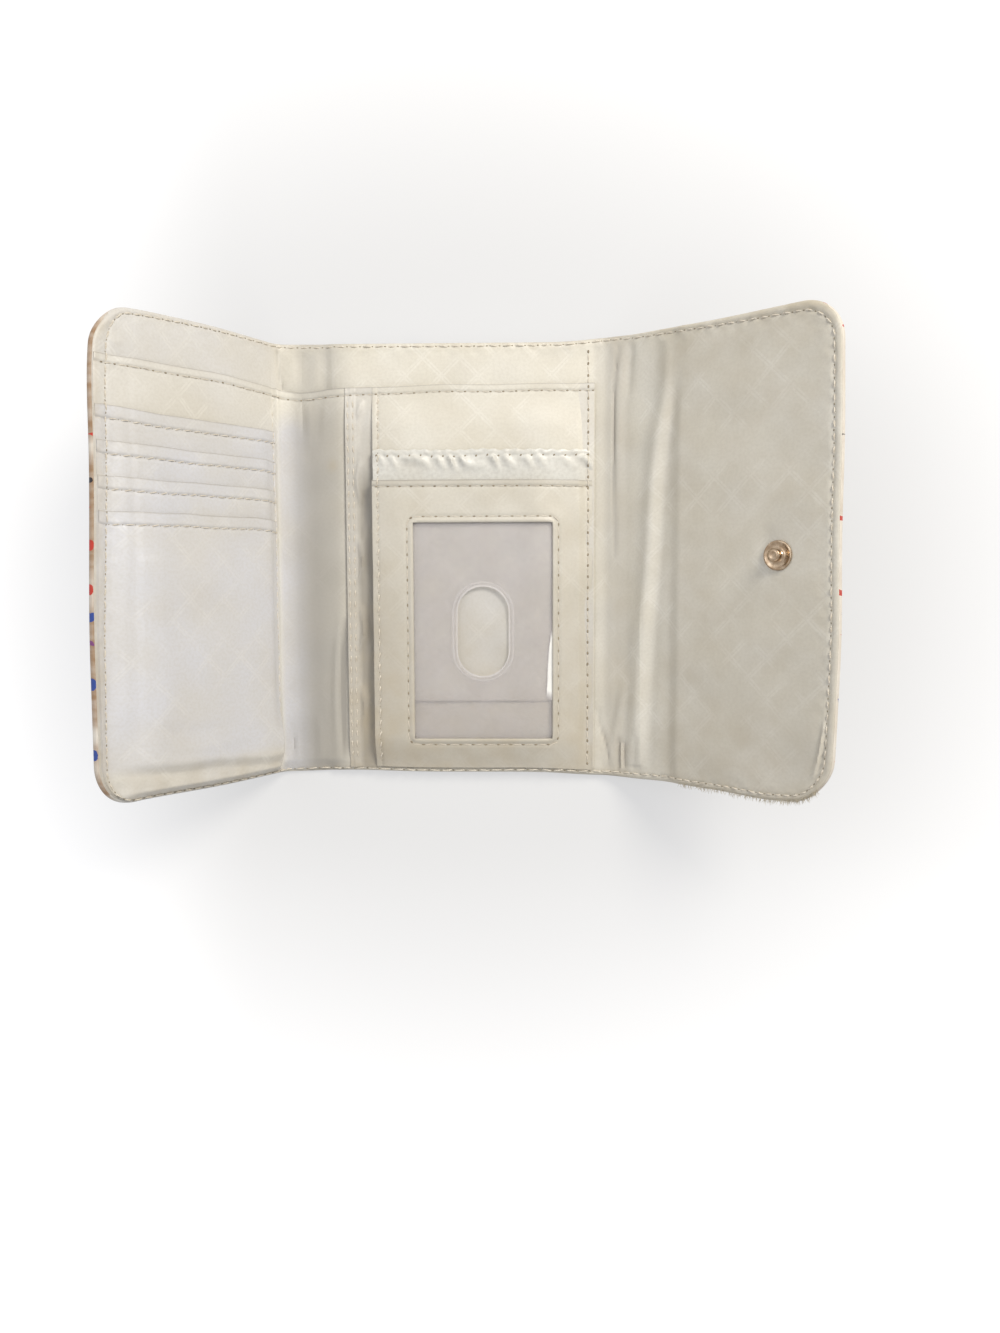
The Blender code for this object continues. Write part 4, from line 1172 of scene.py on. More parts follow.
        # Each stitch draws small puckers out of the seam
        pucker = 0.06 * MM * waves(s, v, 6, 4.5 * MM, 7) * bump(distance, inset + 1.6 * MM, 2.2 * MM)
        uneven = 0.11 * MM * waves(s, v, 5, 26 * MM) * inner + pucker
        rumple = self.rumple("lining", s, v) * smooth(distance, 0.6 * MM, 4 * MM)
        # No valley is deeper than the room that the film or the outer cloth under it leaves
        return rolled - groove + bead + np.maximum(uneven + rumple, -0.38 * MM)

    def outer_inner(self, s: Array, v: Array) -> Array:
        """The outer cloth's face towards the lining. Its turned edge comes up over the lining's."""
        distance = WALLET.edge_distance(s, v)
        edge = self.edge(s, v)
        under = np.minimum(0.62 * MM, edge)
        plain = under + (edge - under) * smooth(distance, 1.1 * MM, 0.2 * MM)
        split = self.turn_in(s, v)
        turned = smooth(distance, split + 0.12 * MM, split - 0.12 * MM) * smooth(split, 0.1 * MM, 0.35 * MM)
        return plain + (self.lining(s, v) + 0.08 * MM - plain) * turned

    def outer(self, s: Array, v: Array) -> Array:
        """The outer cloth's outer face, which the edge turns up."""
        distance = WALLET.edge_distance(s, v)
        rolled = (self.edge(s, v) - 0.12 * MM) * (1 - edge_roll(distance, self.roll))
        return rolled + 0.10 * MM * bump(distance, self.inset(s, v), 0.7 * MM)

    def seam_rise(self, s: Array, v: Array) -> Array:
        """How far layers on the card flap have risen from the stitching round them, 0 to 1."""
        distance = WALLET.edge_distance(s, v)
        inset = self.inset(s, v)
        from_fold = WALLET.card_fold - s
        sides = 0.35 * smooth(distance, inset + 0.3 * MM, inset + 5.5 * MM)
        sides = sides + 0.65 * smooth(distance, inset + 1 * MM, inset + 19 * MM)
        sides = sides * smooth(from_fold, 2.2 * MM, 9.5 * MM)
        # Below the cards' ends the cloth drops by a step, and then stays puffed up to the edge
        ends = levels(s, 9.4 * MM, [(-70 * MM, 22 * MM, 8.0 * MM), (-40 * MM, 30 * MM, 5.6 * MM)])
        floor = v + WALLET.half
        low = (
            0.62 * smooth(floor, 0.9 * MM, 3.4 * MM)
            + 0.38 * smooth(floor, ends - 1.4 * MM, ends + 2.4 * MM)
        )
        near_floor = smooth(v, -40 * MM, -60 * MM)
        aside = smooth(s - WALLET.low_s, 3 * MM, 17 * MM) * smooth(from_fold, 2.2 * MM, 5.5 * MM)
        return sides + (low * aside - sides) * near_floor

    def lip_fold(self, s: Array, below: Array, width: Array | float, pitch: float = 3.4 * MM) -> Array:
        """A folded lip's extra thickness, rounded edge and stitched groove, by the distance under the lip.

        Args:
            s: Places along the cloth.
            below: How far under the lip they lie.
            width: How wide the fold is, up to its stitching.
            pitch: Distance between two stitches.

        Returns:
            The height that the fold adds.
        """
        # The thread pulls the groove to and fro with every stitch
        row = width + 0.14 * MM * np.sin(math.tau * s / pitch)
        fold = smooth(below, row + 0.45 * MM, row - 0.45 * MM)
        groove = (0.85 + 0.35 * np.cos(math.tau * s / pitch)) * bump(below, row, 0.36 * MM)
        return self.hem * (fold - 1.1 * groove) - 0.25 * MM * (1 - edge_roll(below, 0.3 * MM))

    def card_lip(self, order: int, s: Array) -> Array:
        """Where a card pocket's lip lies; they sag a little between the seams."""
        lip = WALLET.card_lips[order - 1]
        middle = WALLET.card_fold - WALLET.left_flap / 2
        sag = 0.45 * MM * bump(s, middle - 6 * MM * order, 17 * MM)
        return lip - sag + 0.12 * MM * waves(s, s * 0 + lip, 40 + order, 16 * MM, 5)

    def card(self, order: int, s: Array, v: Array) -> Array:
        """A card pocket's upper face, 1 the hindmost. Order 0 is the bill pocket on that flap."""
        rise = self.seam_rise(s, v)
        under = self.lining(s, v)
        low = under + self.pinched * (order + 1.6)
        full = WALLET.bill + WALLET.card_step * order
        lip = self.bill_lip(s) if order == 0 else self.card_lip(order, s)
        width = self.bill_hem if order == 0 else self.hem_width
        swell = 0.16 * MM * waves(s, v, 11 + order, 21 * MM) * rise
        level = low + (full - low) * rise + swell + self.lip_fold(s, lip - v, width)
        from_fold = WALLET.card_fold - s
        # The row of stitches beside the fold pulls a groove
        row = self.fold_row(v)
        level = level - 0.25 * MM * bump(from_fold, row, 0.45 * MM)
        level = level - 0.2 * MM * (1 - edge_roll(from_fold - 1.7 * MM, 0.4 * MM))
        if order == len(WALLET.card_lips):
            puff = smooth(v, -60 * MM, -64 * MM) * smooth(from_fold, 3 * MM, 8 * MM)
            level = level + self.rumple("card", s, v) + 0.10 * MM * waves(s, v, 15, 5.5 * MM, 7) * puff
        return level

    def fold_row(self, v: Array) -> Array:
        """How far from the card fold the row of stitches beside it runs."""
        return 2.7 * MM + 0.5 * MM * np.asarray(v) / (60 * MM)

    def bill_lip(self, s: Array) -> Array:
        """Where the bill pocket's lip lies; it dips where it crosses the card spine."""
        dip = 1.5 * MM * bump(s, WALLET.card_fold / 2 - 1.0 * MM, 9.5 * MM)
        dip = dip + 0.7 * MM * smooth(s, 42 * MM, 8 * MM)
        return WALLET.bill_lip - dip + 0.15 * MM * waves(s, s * 0, 31, 30 * MM, 4)

    def follow_lip(self, s: Array, v: Array) -> Pair:
        """Moves a plan's upper rows to the bill pocket's dipping lip."""
        share = smooth(v, WALLET.bill_lip - 30 * MM, WALLET.bill_lip - 5 * MM)
        return s, v + (self.bill_lip(s) - WALLET.bill_lip) * share

    def bill(self, s: Array, v: Array) -> Array:
        """The bill pocket's upper face, from the card flap over the spine to the pocket block."""
        on_flap = self.card(0, s, v)
        lip = self.bill_lip(s)
        # The loose stretch over the spine falls steeply beside the flap, rises slowly towards the
        # centre and dips into the gap beside the slip pocket
        deep, crest = WALLET.spine_bill - 0.05 * MM, WALLET.bill + 0.25 * MM
        changes = [
            (WALLET.card_fold + 4.2 * MM, 7.5 * MM, deep),
            (-3.4 * MM, 11 * MM, crest),
            (WALLET.slip_start - 0.6 * MM, 3 * MM, WALLET.bill - 0.1 * MM),
        ]
        trough = levels(s, WALLET.lining + 1.1 * MM, changes)
        trough = trough + self.rumple("bill", s, v)
        floor = self.lining(s, v) + 0.25 * MM
        edge_hold = smooth(WALLET.edge_distance(s, v), 0.9 * MM, 4.5 * MM)
        width = levels(s, self.bill_hem, [(9 * MM, 6 * MM, self.block_hem)])
        centre = (
            np.maximum(floor, floor + (trough - floor) * edge_hold)
            + self.lip_fold(s, lip - v, width, 4.1 * MM)
        )
        share = smooth(s, WALLET.card_fold - 2.6 * MM, WALLET.card_fold - 0.8 * MM)
        return on_flap + (centre - on_flap) * share

    def block_rise(self, s: Array, v: Array) -> Array:
        """How far the pocket block's layers have risen from the seams round them, 0 to 1."""
        stitch = WALLET.block_end - 2.6 * MM
        right = (
            0.3 * smooth(s, stitch + 0.2 * MM, stitch - 3.5 * MM)
            + 0.7 * smooth(s, stitch, stitch - 19 * MM)
        )
        low = smooth(v + WALLET.half, -1.6 * MM, 13.5 * MM)
        lip = 0.35 + 0.65 * smooth(WALLET.bill_lip - v, 1.5 * MM, 14 * MM)
        return right * low * lip

    def block(self, order: int, full: float, s: Array, v: Array) -> Array:
        """The level of one layer of the centre's pockets: 1 slip, 2 back, 3 ribbon, 4 film, 5 frame."""
        rise = self.block_rise(s, v)
        low = self.lining(s, v) + self.pinched * (order + 1.8)
        beyond = smooth(s, WALLET.block_end - 2.6 * MM, WALLET.block_end)
        return low + (full - low) * rise - 0.1 * MM * beyond

    def slip(self, s: Array, v: Array) -> Array:
        """The slip pocket's panel, with its folded and twice stitched edge."""
        level = self.block(1, WALLET.slip, s, v)
        inside = s - WALLET.slip_start
        above_floor = smooth(v + WALLET.half, 4 * MM, 18 * MM)
        fold = (
            0.35 * MM * smooth(inside, 3.6 * MM, 2.7 * MM) - 0.22 * MM * (1 - edge_roll(inside, 0.35 * MM))
        )
        rows = sum(bump(inside, row, 0.4 * MM) for row in (0.9 * MM, 2.6 * MM))
        lip = self.lip_fold(s, self.bill_lip(s) - v, self.block_hem, 4.1 * MM)
        loose = 0.20 * MM * waves(s, v, 21, 15 * MM) * smooth(inside, 3 * MM, 6 * MM)
        # It sinks into the gap beside the window block
        sunk = -0.45 * MM * smooth(inside, 4.0 * MM, 8.6 * MM) * smooth(v, 50 * MM, 34 * MM)
        hang = (loose + sunk + self.rumple("slip", s, v)) * above_floor
        # The bill pocket's cloth under it holds it up
        return np.maximum(level + fold - 0.2 * MM * rows + lip + hang, self.bill(s, v) + 0.1 * MM)

    def back(self, s: Array, v: Array) -> Array:
        """The cloth behind the window block."""
        level = self.block(2, WALLET.back, s, v)
        swell = 0.15 * MM * waves(s, v, 22, 24 * MM)
        lip = self.lip_fold(s, self.bill_lip(s) - v, self.block_hem, 4.1 * MM)
        return level + swell + lip + self.block_left(s, 0.15 * MM)

    def block_left(self, s: Array, drop: float) -> Array:
        """The rounding and the stitched row at the window block's left edge."""
        inside = s - WALLET.block_start
        row = 0.22 * MM * bump(inside, 1.9 * MM, 0.4 * MM)
        return (
            -drop * (1 - smooth(inside, 0.0, 4.5 * MM)) - row
            - 0.25 * MM * (1 - edge_roll(inside, 0.4 * MM))
        )

    def ribbon_lip(self, s: Array) -> Array:
        """The gathered lip's ruffled edge."""
        ruffle = 0.20 * MM * np.sin(math.tau * s / (3.7 * MM)) + 0.15 * MM * waves(s, s * 0, 51, 7 * MM, 5)
        return WALLET.ribbon_lip + ruffle

    def gathers(self, s: Array, v: Array) -> Array:
        """The ribbon's gathers: a bead at each stitch of its lip, and uneven folds that fade below."""
        below = self.ribbon_lip(s) - v
        pitch = 3.7 * MM
        uneven = 0.28 * waves(s, s * 0, 61, 15 * MM, 5)
        turn = math.tau * (s / pitch + uneven)
        # A puff outside each stitch, a smaller one between two, and folds that run down from those
        puffs = 0.34 * MM * (0.5 + 0.5 * np.cos(turn)) * bump(below, 1.0 * MM, 0.8 * MM)
        slanted = (
            0.62 * turn + 1.3 * waves(s, s * 0, 63, 13 * MM, 4)
            - math.tau * 0.4 * (below - 2.6 * MM) / pitch
        )
        crest = (0.5 - 0.5 * np.cos(slanted)) ** 1.5
        size = np.clip(0.85 + 0.6 * waves(s, s * 0, 62, 10 * MM, 5), 0.35, 1.5)
        folds = (
            0.85 * MM * size * crest * smooth(below, 1.3 * MM, 2.7 * MM) * smooth(below, 7.6 * MM, 3.2 * MM)
        )
        return puffs + folds

    def ribbon(self, s: Array, v: Array) -> Array:
        """The card pocket behind the window, with the gathered ribbon along its mouth."""
        level = self.block(3, WALLET.ribbon, s, v)
        below = self.ribbon_lip(s) - v
        stitched = (
            -0.14 * MM * bump(below, 2.0 * MM, 0.45 * MM) - 0.25 * MM * (1 - edge_roll(below, 0.35 * MM))
        )
        shown = smooth(v, WALLET.frame_lip - 6 * MM, WALLET.frame_lip)
        hang = 0.15 * MM * waves(s, v, 23, 20 * MM) * (1 - shown)
        return level + stitched + self.gathers(s, v) * shown + hang + self.block_left(s, 0.15 * MM)

    def window_distance(self, s: Array, v: Array) -> Array:
        """How far outside the window's opening a place lies; negative inside it."""
        radius = 1.4 * MM
        across = np.abs(s - (WALLET.window_left + WALLET.window_right) / 2)
        across = across - (WALLET.window_right - WALLET.window_left) / 2 + radius
        along = np.abs(v - (WALLET.window_floor + WALLET.window_ceiling) / 2)
        along = along - (WALLET.window_ceiling - WALLET.window_floor) / 2 + radius
        outside = np.hypot(np.maximum(across, 0.0), np.maximum(along, 0.0))
        return outside + np.minimum(np.maximum(across, along), 0.0) - radius

    def frame(self, s: Array, v: Array) -> Array:
        """The cloth frame round the window, with a rolled welt along the opening."""
        level = self.block(5, WALLET.frame, s, v)
        distance = self.window_distance(s, v)
        welt = (
            0.20 * MM * smooth(distance, 1.5 * MM, 0.9 * MM)
            - 0.45 * MM * (1 - edge_roll(distance, 0.7 * MM))
        )
        stitch = -0.26 * MM * bump(distance, 1.95 * MM, 0.38 * MM)
        swell = 0.16 * MM * waves(s, v, 24, 17 * MM) * smooth(distance, 2 * MM, 6 * MM)
        lip = self.lip_fold(s, WALLET.frame_lip - v, self.frame_hem, 3.6 * MM)
        return level + welt + stitch + swell + lip + self.block_left(s, 0.3 * MM)

    def film(self, s: Array, v: Array) -> Array:
        """The clear film, which lies just under the frame and swells a little in the opening."""
        level = self.block(4, WALLET.film, s, v)
        inside = smooth(self.window_distance(s, v), 0.0, -9 * MM)
        curl = 0.4 * MM * bump(s, WALLET.window_right - 1.6 * MM, 1.6 * MM) * bump(v, -36 * MM, 11 * MM)
        return level + 0.12 * MM * inside * (1 + waves(s, v, 25, 25 * MM)) - curl

    def skin(self, s: Array, v: Array) -> Array:
        """The topmost cloth at each place, which the stitches lie on."""
        found = self.lining(s, v)
        under_lip = (v < self.bill_lip(s)) & (s < WALLET.block_end - 0.4 * MM)
        block = under_lip & (s > WALLET.block_start)
        parts = [(under_lip, self.bill(s, v))]
        for order in range(1, len(WALLET.card_lips) + 1):
            pocket = (v < self.card_lip(order, s)) & (s < WALLET.card_fold - 1.7 * MM)
            parts.append((pocket, self.card(order, s, v)))
        parts.append((under_lip & (s > WALLET.slip_start), self.slip(s, v)))
        parts.append((block, self.back(s, v)))
        parts.append((block & (v < self.ribbon_lip(s)), self.ribbon(s, v)))
        parts.append((block & (v < WALLET.frame_lip), self.frame(s, v)))
        for there, level in parts:
            found = np.where(there, np.maximum(found, level), found)
        return found


class OuterCloth:
    """The printed outer cloth, in four stretches that bend at the folds."""

    NODES = {
        Stretch.CARD_FLAP: ("outer_left_flap", "outer_left_spine"),
        Stretch.CARD_SPINE: ("outer_left_spine", "outer_centre"),
        Stretch.SNAP_SPINE: ("outer_centre", "outer_right_spine"),
        Stretch.SNAP_FLAP: ("outer_right_spine", "outer_right_flap"),
    }

    def __init__(self, layers: Layers, finishes: Finishes) -> None:
        """Keeps what the cloth is made with."""
        self.layers = layers
        self.finishes = finishes

    @staticmethod
    def wear(s: Array, v: Array) -> Array:
        """Wear: strongest on the card flap's free edge, less on the other edges and folds."""
        distance = WALLET.edge_distance(s, v)
        side = smooth(s, WALLET.low_s + 9 * MM, WALLET.low_s + 2 * MM)
        rubbed = (0.25 + 0.85 * side) * smooth(distance, 1.5 * MM, 0.5 * MM)
        folds = (WALLET.card_fold, 0.0, WALLET.centre, WALLET.snap_fold)
        creases = 0.22 * sum(bump(s, fold, 2.2 * MM) for fold in folds)
        return np.clip(rubbed * (0.85 + 0.4 * waves(s, v, 7, 9 * MM, 6)) + creases, 0.0, 1.0)

    def build(self) -> list[Piece]:
        """Makes the four pieces."""
        return [self.piece(stretch) for stretch in Stretch]

    def piece(self, stretch: Stretch) -> Piece:
        """One stretch of the outer cloth."""
        cloth = Cloth(
            name=f"outer_cloth_{stretch.value}",
            plan=stretch_plan(stretch, 0.0),
            top=self.layers.outer_inner,
            thickness=lambda s, v: self.layers.outer_inner(s, v) - self.layers.outer(s, v),
            material=self.finishes.print,
            carry=stretch.carry,
            replaces=self.NODES[stretch],
            slot="printed_cotton",
            wear=self.wear,
        )
        return cloth.build()


def stretch_plan(stretch: Stretch, inset: float, **options) -> Plan:
    """The plan of a whole stretch of cloth, a little inside the wallet's outline.

    Args:
        stretch: Which stretch.
        inset: How far inside the outline its free edges lie.
        **options: Further fields of the plan.

    Returns:
        The plan.
    """
    start, end = stretch.reach
    rings: list[Sequence[float]] = [(0.0,), (0.0,), EDGE_RINGS, EDGE_RINGS]
    rounded: tuple[tuple[int, int], ...] = ()
    if stretch is Stretch.CARD_FLAP:
        start, rounded = start + inset, ((0, 0), (0, 1))
        rings[0] = EDGE_RINGS
    if stretch is Stretch.SNAP_FLAP:
        end, rounded = end - inset, ((1, 0), (1, 1))
        rings[1] = EDGE_RINGS
    half = WALLET.half - inset
    radius = WALLET.CORNER_RADIUS - inset
    return Plan(start, end, -half, half, rounded=rounded, radius=radius, rings=tuple(rings), **options)


def lining_wear_and_light(s: Array, v: Array) -> Array:
    """Soiling of the lining at its edges, folds and towards the wallet's lower end; less of it on the snap
    spine's ridge and the snap flap's turned edge is painted light.
    """
    distance = WALLET.edge_distance(s, v)
    side = smooth(s, WALLET.low_s + 9 * MM, WALLET.low_s + 2 * MM)
    edge = (0.18 + 0.25 * side) * smooth(distance, 4.2 * MM, 0.6 * MM)
    snap = 0.22 * smooth(s, WALLET.centre - 6 * MM, WALLET.centre + 8 * MM)
    # Less soiling along the snap spine's ridge: a painted highlight
    snap = snap - 0.20 * bump(s, 105 * MM, 6 * MM)
    # A negative share along the snap flap's free edge lightens its turned edge: painted light against the
    # roll's shade
    edge_painted_light = -0.22 * smooth(s, WALLET.high_s - 5 * MM, WALLET.high_s - 1 * MM)
    lower = 0.10 * smooth(v, -30 * MM, -68 * MM) * smooth(s, WALLET.card_fold, WALLET.card_fold + 30 * MM)
    snap = snap + 0.12 * smooth(v, 48 * MM, 68 * MM) * smooth(s, WALLET.centre + 4 * MM, WALLET.snap_fold)
    return np.clip(edge + snap + edge_painted_light + lower + 0.05 * waves(s, v, 71, 22 * MM), 0.0, 1.0)


def lip_shade(below: Array, row: Array | float) -> Array:
    """Painted shade along a folded lip's very edge and in its stitched groove."""
    return 0.70 * smooth(below, 0.45 * MM, 0.10 * MM) + 0.16 * bump(below, row, 0.45 * MM)


def spine_painted_shade(s: Array, v: Array) -> Array:
    """Painted shade in the folds, most in the card spine's trough, and over the snap spine and flap."""
    trough = (
        (0.80 * bump(s, -6.5 * MM, 7.5 * MM) + 0.40 * bump(s, 2 * MM, 4.5 * MM))
        * smooth(v, 56 * MM, 44 * MM)
    )
    top = 0.42 * smooth(s, -15 * MM, -9 * MM) * smooth(s, 9 * MM, 0 * MM) * smooth(v, 44 * MM, 56 * MM)
    strip = 0.08 + 0.22 * smooth(s, 84 * MM, 86 * MM) + 0.13 * smooth(s, 87 * MM, 91 * MM)
    strip = strip * smooth(s, 102 * MM, 94 * MM) * smooth(s, 60 * MM, 83 * MM) + top
    snap = 0.08 * smooth(s, WALLET.centre + 12 * MM, WALLET.centre + 22 * MM)
    flap = (
        0.12 * smooth(v, 10 * MM, -60 * MM)
        * smooth(s, WALLET.snap_fold - 6 * MM, WALLET.snap_fold + 6 * MM)
    )
    return np.clip(trough + strip + snap + flap + 0.03 * waves(s, v, 73, 18 * MM), 0.0, 1.0)


class Lining:
    """The lining, in four stretches that bend at the folds."""

    NODES = {
        Stretch.CARD_FLAP: ("left_flap_lining", "left_spine_lining"),
        Stretch.CARD_SPINE: ("left_spine_lining", "centre_lining"),
        Stretch.SNAP_SPINE: ("centre_lining", "right_spine_lining"),
        Stretch.SNAP_FLAP: ("right_spine_lining", "right_flap_lining"),
    }

    def __init__(self, layers: Layers, finishes: Finishes) -> None:
        """Keeps what the lining is made with."""
        self.layers = layers
        self.finishes = finishes

    @staticmethod
    def tint(s: Array, v: Array) -> Array:
        """Cooler cloth on the card flap."""
        return 0.55 * smooth(s, WALLET.card_fold + 8 * MM, WALLET.card_fold - 8 * MM)

    def build(self) -> list[Piece]:
        """Makes the four pieces."""
        made = []
        for stretch in Stretch:
            cloth = Cloth(
                name=f"lining_{stretch.value}",
                plan=stretch_plan(stretch, 0.06 * MM),
                top=self.layers.lining,
                thickness=0.22 * MM,
                material=self.finishes.lining,
                carry=stretch.carry,
                replaces=self.NODES[stretch],
                rests_on=[f"outer_cloth_{stretch.value}"],
                wear=lining_wear_and_light,
                tint=self.tint,
                dull=lambda s, v: spine_painted_shade(s, v) + self.layers.shade("lining", s, v),
                warp=self.layers.tuck,
            )
            made.append(cloth.build())
        return made


class BillPocket:
    """The long bill pocket's cloth, from the card flap over the spine to the pocket block."""

    def __init__(self, layers: Layers, finishes: Finishes) -> None:
        """Keeps what the cloth is made with."""
        self.layers = layers
        self.finishes = finishes

    @staticmethod
    def wear(s: Array, v: Array) -> Array:
        """Soiling, with a stain beside the slip pocket."""
        stain = 0.55 * bump(s, 0.2 * MM, 1.6 * MM) * bump(v, 31 * MM, 1.8 * MM)
        return lining_wear_and_light(s, v) + stain

    def dull(self, s: Array, v: Array) -> Array:
        """Painted shade in the folds, along the lip's edge, in its stitched groove and in the creases."""
        below = self.layers.bill_lip(s) - v
        row = levels(s, self.layers.bill_hem, [(9 * MM, 6 * MM, self.layers.block_hem)])
        return spine_painted_shade(s, v) + lip_shade(below, row) + self.layers.shade("bill", s, v)

    @staticmethod
    def tint(s: Array, v: Array) -> Array:
        """Cream at the top of the card flap, cooler over the spine, where the cool colour paints the bluish
        sheen of the satin's highlight.
        """
        flap = 0.35 * smooth(s, WALLET.card_fold, WALLET.card_fold - 6 * MM)
        # The bluish sheen on the spine's highlight is painted
        spine = 1.2 * bump(s, WALLET.card_fold / 2 - 3.5 * MM, 7 * MM) * smooth(v, 50 * MM, 40 * MM)
        return np.minimum(flap + spine, 1.0)

    def build(self) -> list[Piece]:
        """Makes the two pieces."""
        inset = 0.75 * MM
        radius = WALLET.CORNER_RADIUS - inset
        floor = -WALLET.half + inset
        middle = Stretch.CARD_FLAP.reach[1]
        flap_rings = (EDGE_RINGS, (0.0,), EDGE_RINGS, LIP_RINGS)
        spine_rings = ((0.0,), (0.0,), EDGE_RINGS, LIP_RINGS)
        flap = Plan(
            WALLET.low_s + inset, middle, floor, WALLET.bill_lip, rounded=(
                (0, 0),
            ), radius=radius, rings=flap_rings
        )
        spine = Plan(middle, WALLET.block_end - 0.4 * MM, floor, WALLET.bill_lip, rings=spine_rings)
        nodes = (
            ("bill_pocket_left_flap", "bill_pocket_left_spine"),
            ("bill_pocket_left_spine", "bill_pocket_centre"),
        )
        made = []
        for stretch, plan, replaced in zip((Stretch.CARD_FLAP, Stretch.CARD_SPINE), (flap, spine), nodes):
            cloth = Cloth(
                name=f"bill_pocket_{stretch.value}",
                plan=plan,
                top=self.layers.bill,
                thickness=0.14 * MM,
                material=self.finishes.lining,
                carry=stretch.carry,
                replaces=replaced,
                rests_on=[f"lining_{stretch.value}"],
                wear=self.wear,
                tint=self.tint,
                dull=self.dull,
                warp=self.layers.follow_lip,
            )
            made.append(cloth.build())
        return made


class CardPockets:
    """The four stepped card pockets, whose margins are drawn down to the seams round them."""

    SEAMS = {
        1: ("card_pocket_fold_seam",),
        2: ("card_pocket_side_seam",),
        3: ("card_pocket_corner_seam",),
        4: ("card_pocket_bottom_seam",),
    }
    INSET = 0.85 * MM
    FOLD_END = 1.7 * MM

    def __init__(self, layers: Layers, finishes: Finishes) -> None:
        """Keeps what the pockets are made with."""
        self.layers = layers
        self.finishes = finishes

    @staticmethod
    def tint(s: Array, v: Array) -> Array:
        """Cool grey cloth, except on the strip under the cards' ends."""
        return 0.95 - 0.55 * smooth(v, -58 * MM, -63 * MM)

    def build(self) -> list[Piece]:
        """Makes the pockets, hindmost first."""
        return [self.pocket(order) for order in range(1, 5)]

    def pocket(self, order: int) -> Piece:
        """One card pocket."""
        lip = WALLET.card_lips[order - 1]
        inset = self.INSET + 0.1 * MM * order

        def follow_lip(s: Array, v: Array) -> Pair:
            """Moves the upper rows to the sagging lip."""
            share = smooth(v, lip - 25 * MM, lip - 5 * MM)
            return s, v + (self.layers.card_lip(order, s) - lip) * share

        def dull(s: Array, v: Array) -> Array:
            """Painted shade on the lip's edge, its stitched groove and the seam beside the fold."""
            below = self.layers.card_lip(order, s) - v
            seam = 0.14 * bump(WALLET.card_fold - s, self.layers.fold_row(v), 0.45 * MM)
            return lip_shade(below, self.layers.hem_width) + seam

        def wear(s: Array, v: Array) -> Array:
            """Soiling, most on the puffed strip under the cards' ends."""
            strip = smooth(v, -58 * MM, -63 * MM) * smooth(s, WALLET.low_s + 2 * MM, WALLET.low_s + 12 * MM)
            return lining_wear_and_light(s, v) + strip * (0.20 + 0.08 * waves(s, v, 75, 9 * MM, 5))

        plan = Plan(
            WALLET.low_s + inset,
            WALLET.card_fold - self.FOLD_END,
            -WALLET.half + inset,
            lip,
            rounded=((0, 0),),
            radius=WALLET.CORNER_RADIUS - inset,
            rings=(EDGE_RINGS, LIP_RINGS, EDGE_RINGS, LIP_RINGS),
        )
        cloth = Cloth(
            name=f"card_pocket_cloth_{order}",
            plan=plan,
            top=lambda s, v: self.layers.card(order, s, v),
            thickness=lambda s, v: 0.10 * MM + 0.18 * MM * self.layers.seam_rise(s, v),
            material=self.finishes.lining,
            carry=ride("left_flap"),
            replaces=(f"card_pocket_{order}", *self.SEAMS[order]),
            rests_on=["bill_pocket_card_flap" if order == 1 else f"card_pocket_cloth_{order - 1}"],
            wear=wear,
            tint=self.tint,
            dull=dull,
            warp=follow_lip,
        )
        return cloth.build()


